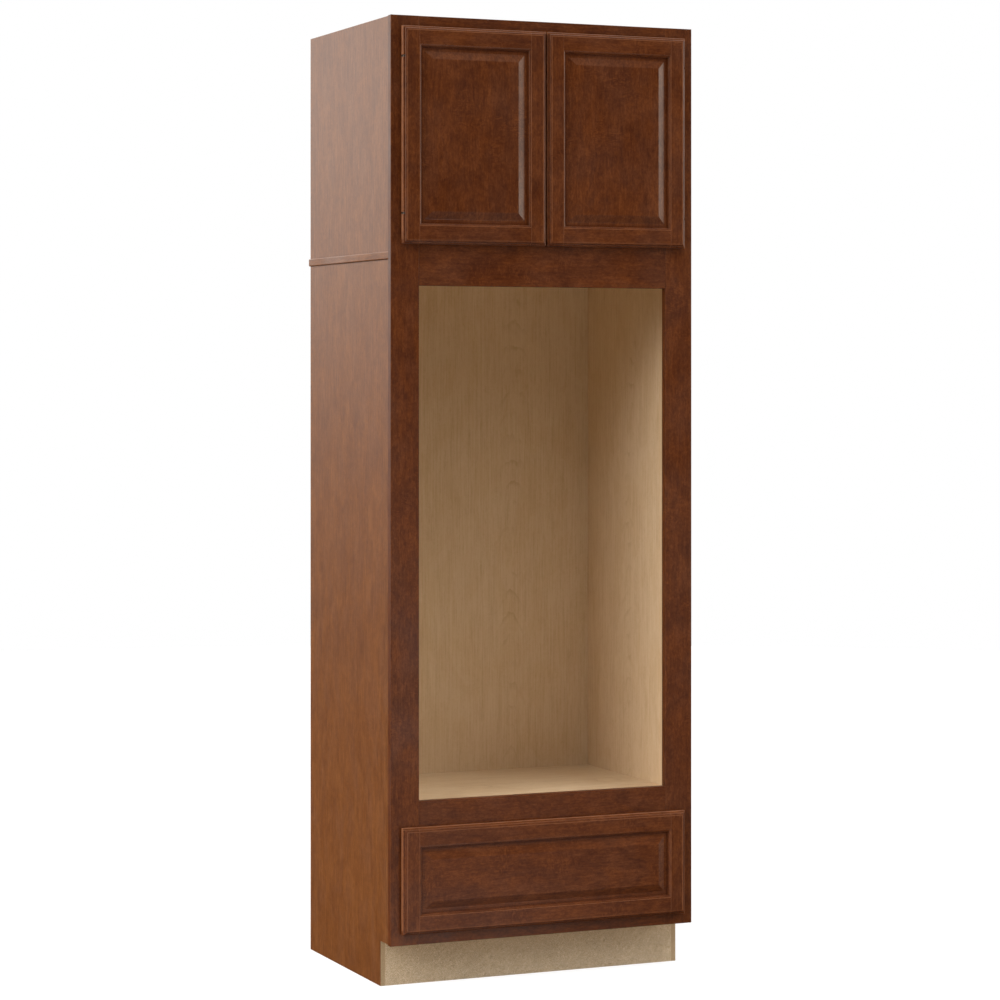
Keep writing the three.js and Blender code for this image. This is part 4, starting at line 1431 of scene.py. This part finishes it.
@dataclass
class Lamp:
    """A soft rectangular lamp.

    Attributes:
        name: Its name.
        at: Where it hangs.
        aim: What it points at.
        size: Its width and height.
        power: Its power in watts.
    """

    name: str
    at: Vector
    aim: Vector
    size: tuple[float, float]
    power: float

    def hang(self) -> None:
        """Put the lamp in the scene."""
        data = bpy.data.lights.new(self.name, "AREA")
        data.shape = "RECTANGLE"
        data.size, data.size_y = self.size
        data.energy = self.power
        lamp = bpy.data.objects.new(self.name, data)
        lamp.location = self.at
        lamp.rotation_euler = (self.aim - self.at).to_track_quat("-Z", "Y").to_euler()
        bpy.context.scene.collection.objects.link(lamp)


@dataclass
class Sun:
    """A far, broad light that reaches the whole height of the object alike.

    Attributes:
        name: Its name.
        azimuth: Where it stands, in degrees to the right of straight ahead of the object.
        height: How high it stands, in degrees over the horizon.
        spread: Its breadth, in degrees.
        strength: Its strength in watts per square metre.
        gleams: Whether it shows in glossy surfaces.
    """

    name: str
    azimuth: float
    height: float
    spread: float
    strength: float
    gleams: bool = True

    def hang(self) -> None:
        """Put the light in the scene."""
        data = bpy.data.lights.new(self.name, "SUN")
        data.energy = self.strength
        data.angle = math.radians(self.spread)
        sun = bpy.data.objects.new(self.name, data)
        sun.rotation_euler = (math.radians(90.0 - self.height), 0.0, math.radians(self.azimuth))
        sun.visible_glossy = self.gleams
        bpy.context.scene.collection.objects.link(sun)


@dataclass
class Studio:
    """Floor, sky, lamps and camera.

    Attributes:
        focal_pixels: Focal length in pixels of the photograph's frame.
        frame_pixels: Width and height of that frame, in pixels.
        sensor: Width of the camera's sensor in its own millimetres.
        principal: Where the camera's axis meets the frame, in its pixels.
        turn: The camera's turn to the right from looking along +Y, in degrees.
        eye: Where the camera stands.
        backdrop: Brightness of what glossy faces mirror from the side and from behind.
        dome: Brightness of the sky behind the object, which lights its back.
        floor_radius: Radius of the floor.
        floor_colour: Colour of the light that the floor throws back on the object.
        floor_shade: How much of the object's shadow the camera sees on it.
        floor_white: Brightness that the camera sees besides.
        glow_colour: Colour of the floor in glossy faces.
        aim: What the lamps point at.
    """

    focal_pixels: float = 2996.0
    frame_pixels: float = 1000.0
    sensor: float = 36.0
    principal: tuple[float, float] = (504.8, 369.6)
    turn: float = 23.25
    eye: Vector = field(default_factory=lambda: Vector((-3.1051, -7.2660, 1.553)))
    backdrop: float = 2.2
    dome: float = 2.0
    floor_radius: float = 9.0
    floor_colour: Colour = (0.46, 0.40, 0.32)
    floor_shade: Colour = (0.25, 0.25, 0.25)
    floor_white: float = 0.82
    glow_colour: Colour = (0.95, 0.95, 1.12)
    aim: Vector = field(default_factory=lambda: Vector((0.0, 0.0, 1.2)))

    def camera(self) -> None:
        """Set the photograph's camera: level, with its axis above the frame's middle."""
        data = bpy.data.cameras.new("camera")
        data.sensor_width = self.sensor
        data.lens = self.focal_pixels * self.sensor / self.frame_pixels
        middle = self.frame_pixels / 2
        data.shift_x = (middle - self.principal[0]) / self.frame_pixels
        data.shift_y = (self.principal[1] - middle) / self.frame_pixels
        camera = bpy.data.objects.new("camera", data)
        camera.location = self.eye
        camera.rotation_euler = (math.radians(90), 0.0, -math.radians(self.turn))
        bpy.context.scene.collection.objects.link(camera)
        bpy.context.scene.camera = camera

    def sky(self) -> None:
        """Light the back from a dome, let glossy faces mirror a backdrop, and show white behind it all."""
        world = bpy.data.worlds.new("studio")
        world.use_nodes = True
        nodes = Nodes(world.node_tree, "ShaderNodeOutputWorld")
        _, rearwards, upwards = nodes.split(nodes.node("ShaderNodeTexCoord", {}, "Generated"))
        dome = rearwards.rise(0.3, 0.9, 0.0, self.dome)
        mirrored = rearwards.rise(-0.62, 0.05, 0.04, self.backdrop)
        bright = nodes.node("ShaderNodeMix", {0: nodes.is_ray("Is Glossy Ray"), 2: dome, 3: mirrored})
        strength = upwards.rise(-0.06, 0.09, 0.04, 1.0) * bright
        lit = nodes.node("ShaderNodeBackground", {"Color": (1.0, 0.99, 0.97), "Strength": strength})
        seen = nodes.node("ShaderNodeBackground", {"Color": (1.0, 1.0, 1.0), "Strength": 1.0})
        nodes.show(nodes.by_ray("Is Camera Ray", lit, seen))
        bpy.context.scene.world = world

    def floor(self) -> None:
        """Lay a round floor that shows white with a faint shadow, and glows in glossy faces."""
        form = bmesh.new()
        bmesh.ops.create_circle(form, cap_ends=True, segments=96, radius=self.floor_radius)
        mesh = bpy.data.meshes.new("floor")
        form.to_mesh(mesh)
        form.free()
        floor = bpy.data.objects.new("floor", mesh)
        bpy.context.scene.collection.objects.link(floor)
        paint = Paint("floor_paint")
        matt = {"Base Color": self.floor_colour, "Roughness": 0.9, "Specular IOR Level": 0.1}
        mesh.materials.append(paint.finish(matt))
        white = paint.node("ShaderNodeEmission", {"Strength": self.floor_white})
        shaded = paint.node("ShaderNodeBsdfDiffuse", {"Color": self.floor_shade})
        seen = paint.node("ShaderNodeAddShader", {0: white, 1: shaded})
        across, depth, _ = paint.split(paint.position())
        near_band = depth.rise(-0.3, -0.9) * depth.rise(-1.6, -1.0, 0.0, 1.35)
        far_band = depth.rise(-2.8, -3.9, 0.0, 2.4)
        leftwards = (across + depth * 0.43).rise(0.45, -0.55, 0.07, 2.2)
        glow = {"Color": self.glow_colour, "Strength": (near_band + far_band) * leftwards}
        shown = paint.by_ray("Is Camera Ray", paint.shader, seen)
        paint.show(paint.by_ray("Is Glossy Ray", shown, paint.node("ShaderNodeEmission", glow)))

    def lamps(self) -> None:
        """Hang a lamp on the right and one in front overhead, and ring the front and left with suns."""
        Lamp("right", Vector((5.7, -3.0, 1.7)), self.aim, (2.5, 3.6), 195.0).hang()
        Lamp("overhead", Vector((0.5, -5.5, 6.0)), self.aim, (4.0, 4.0), 75.0).hang()
        Sun("key", azimuth=35.0, height=57.0, spread=30.0, strength=1.05, gleams=False).hang()
        Sun("top", azimuth=10.0, height=70.0, spread=40.0, strength=0.3, gleams=False).hang()
        Sun("fill", azimuth=-60.0, height=42.0, spread=40.0, strength=1.15).hang()
        Sun("left", azimuth=-74.0, height=25.0, spread=46.0, strength=1.95).hang()
        Sun("side", azimuth=-100.0, height=20.0, spread=30.0, strength=1.0).hang()

    def build(self) -> None:
        """Set up the whole studio."""
        bpy.context.scene.view_settings.view_transform = "Standard"
        self.camera()
        self.sky()
        self.floor()
        self.lamps()


def main() -> None:
    """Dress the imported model, add its small hardware and set up the studio."""
    logging.basicConfig(level=logging.INFO, format="%(name)s: %(message)s")
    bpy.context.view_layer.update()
    Studio().build()
    carcass = Carcass()
    carcass.dress()
    carcass.staples()
    FaceFrame().dress()
    for hand in HANDS:
        door = Door(hand, Front(f"{hand}_door", Grain.UP))
        door.dress()
        door.fixings()
        door.bumpers()
    drawer = Drawer(Front("drawer_front", Grain.ACROSS))
    drawer.dress()
    drawer.fixings()
    drawer.bumpers()
    slides = Slides()
    slides.dress()
    slides.fixings()


if __name__ == "__main__":
    main()
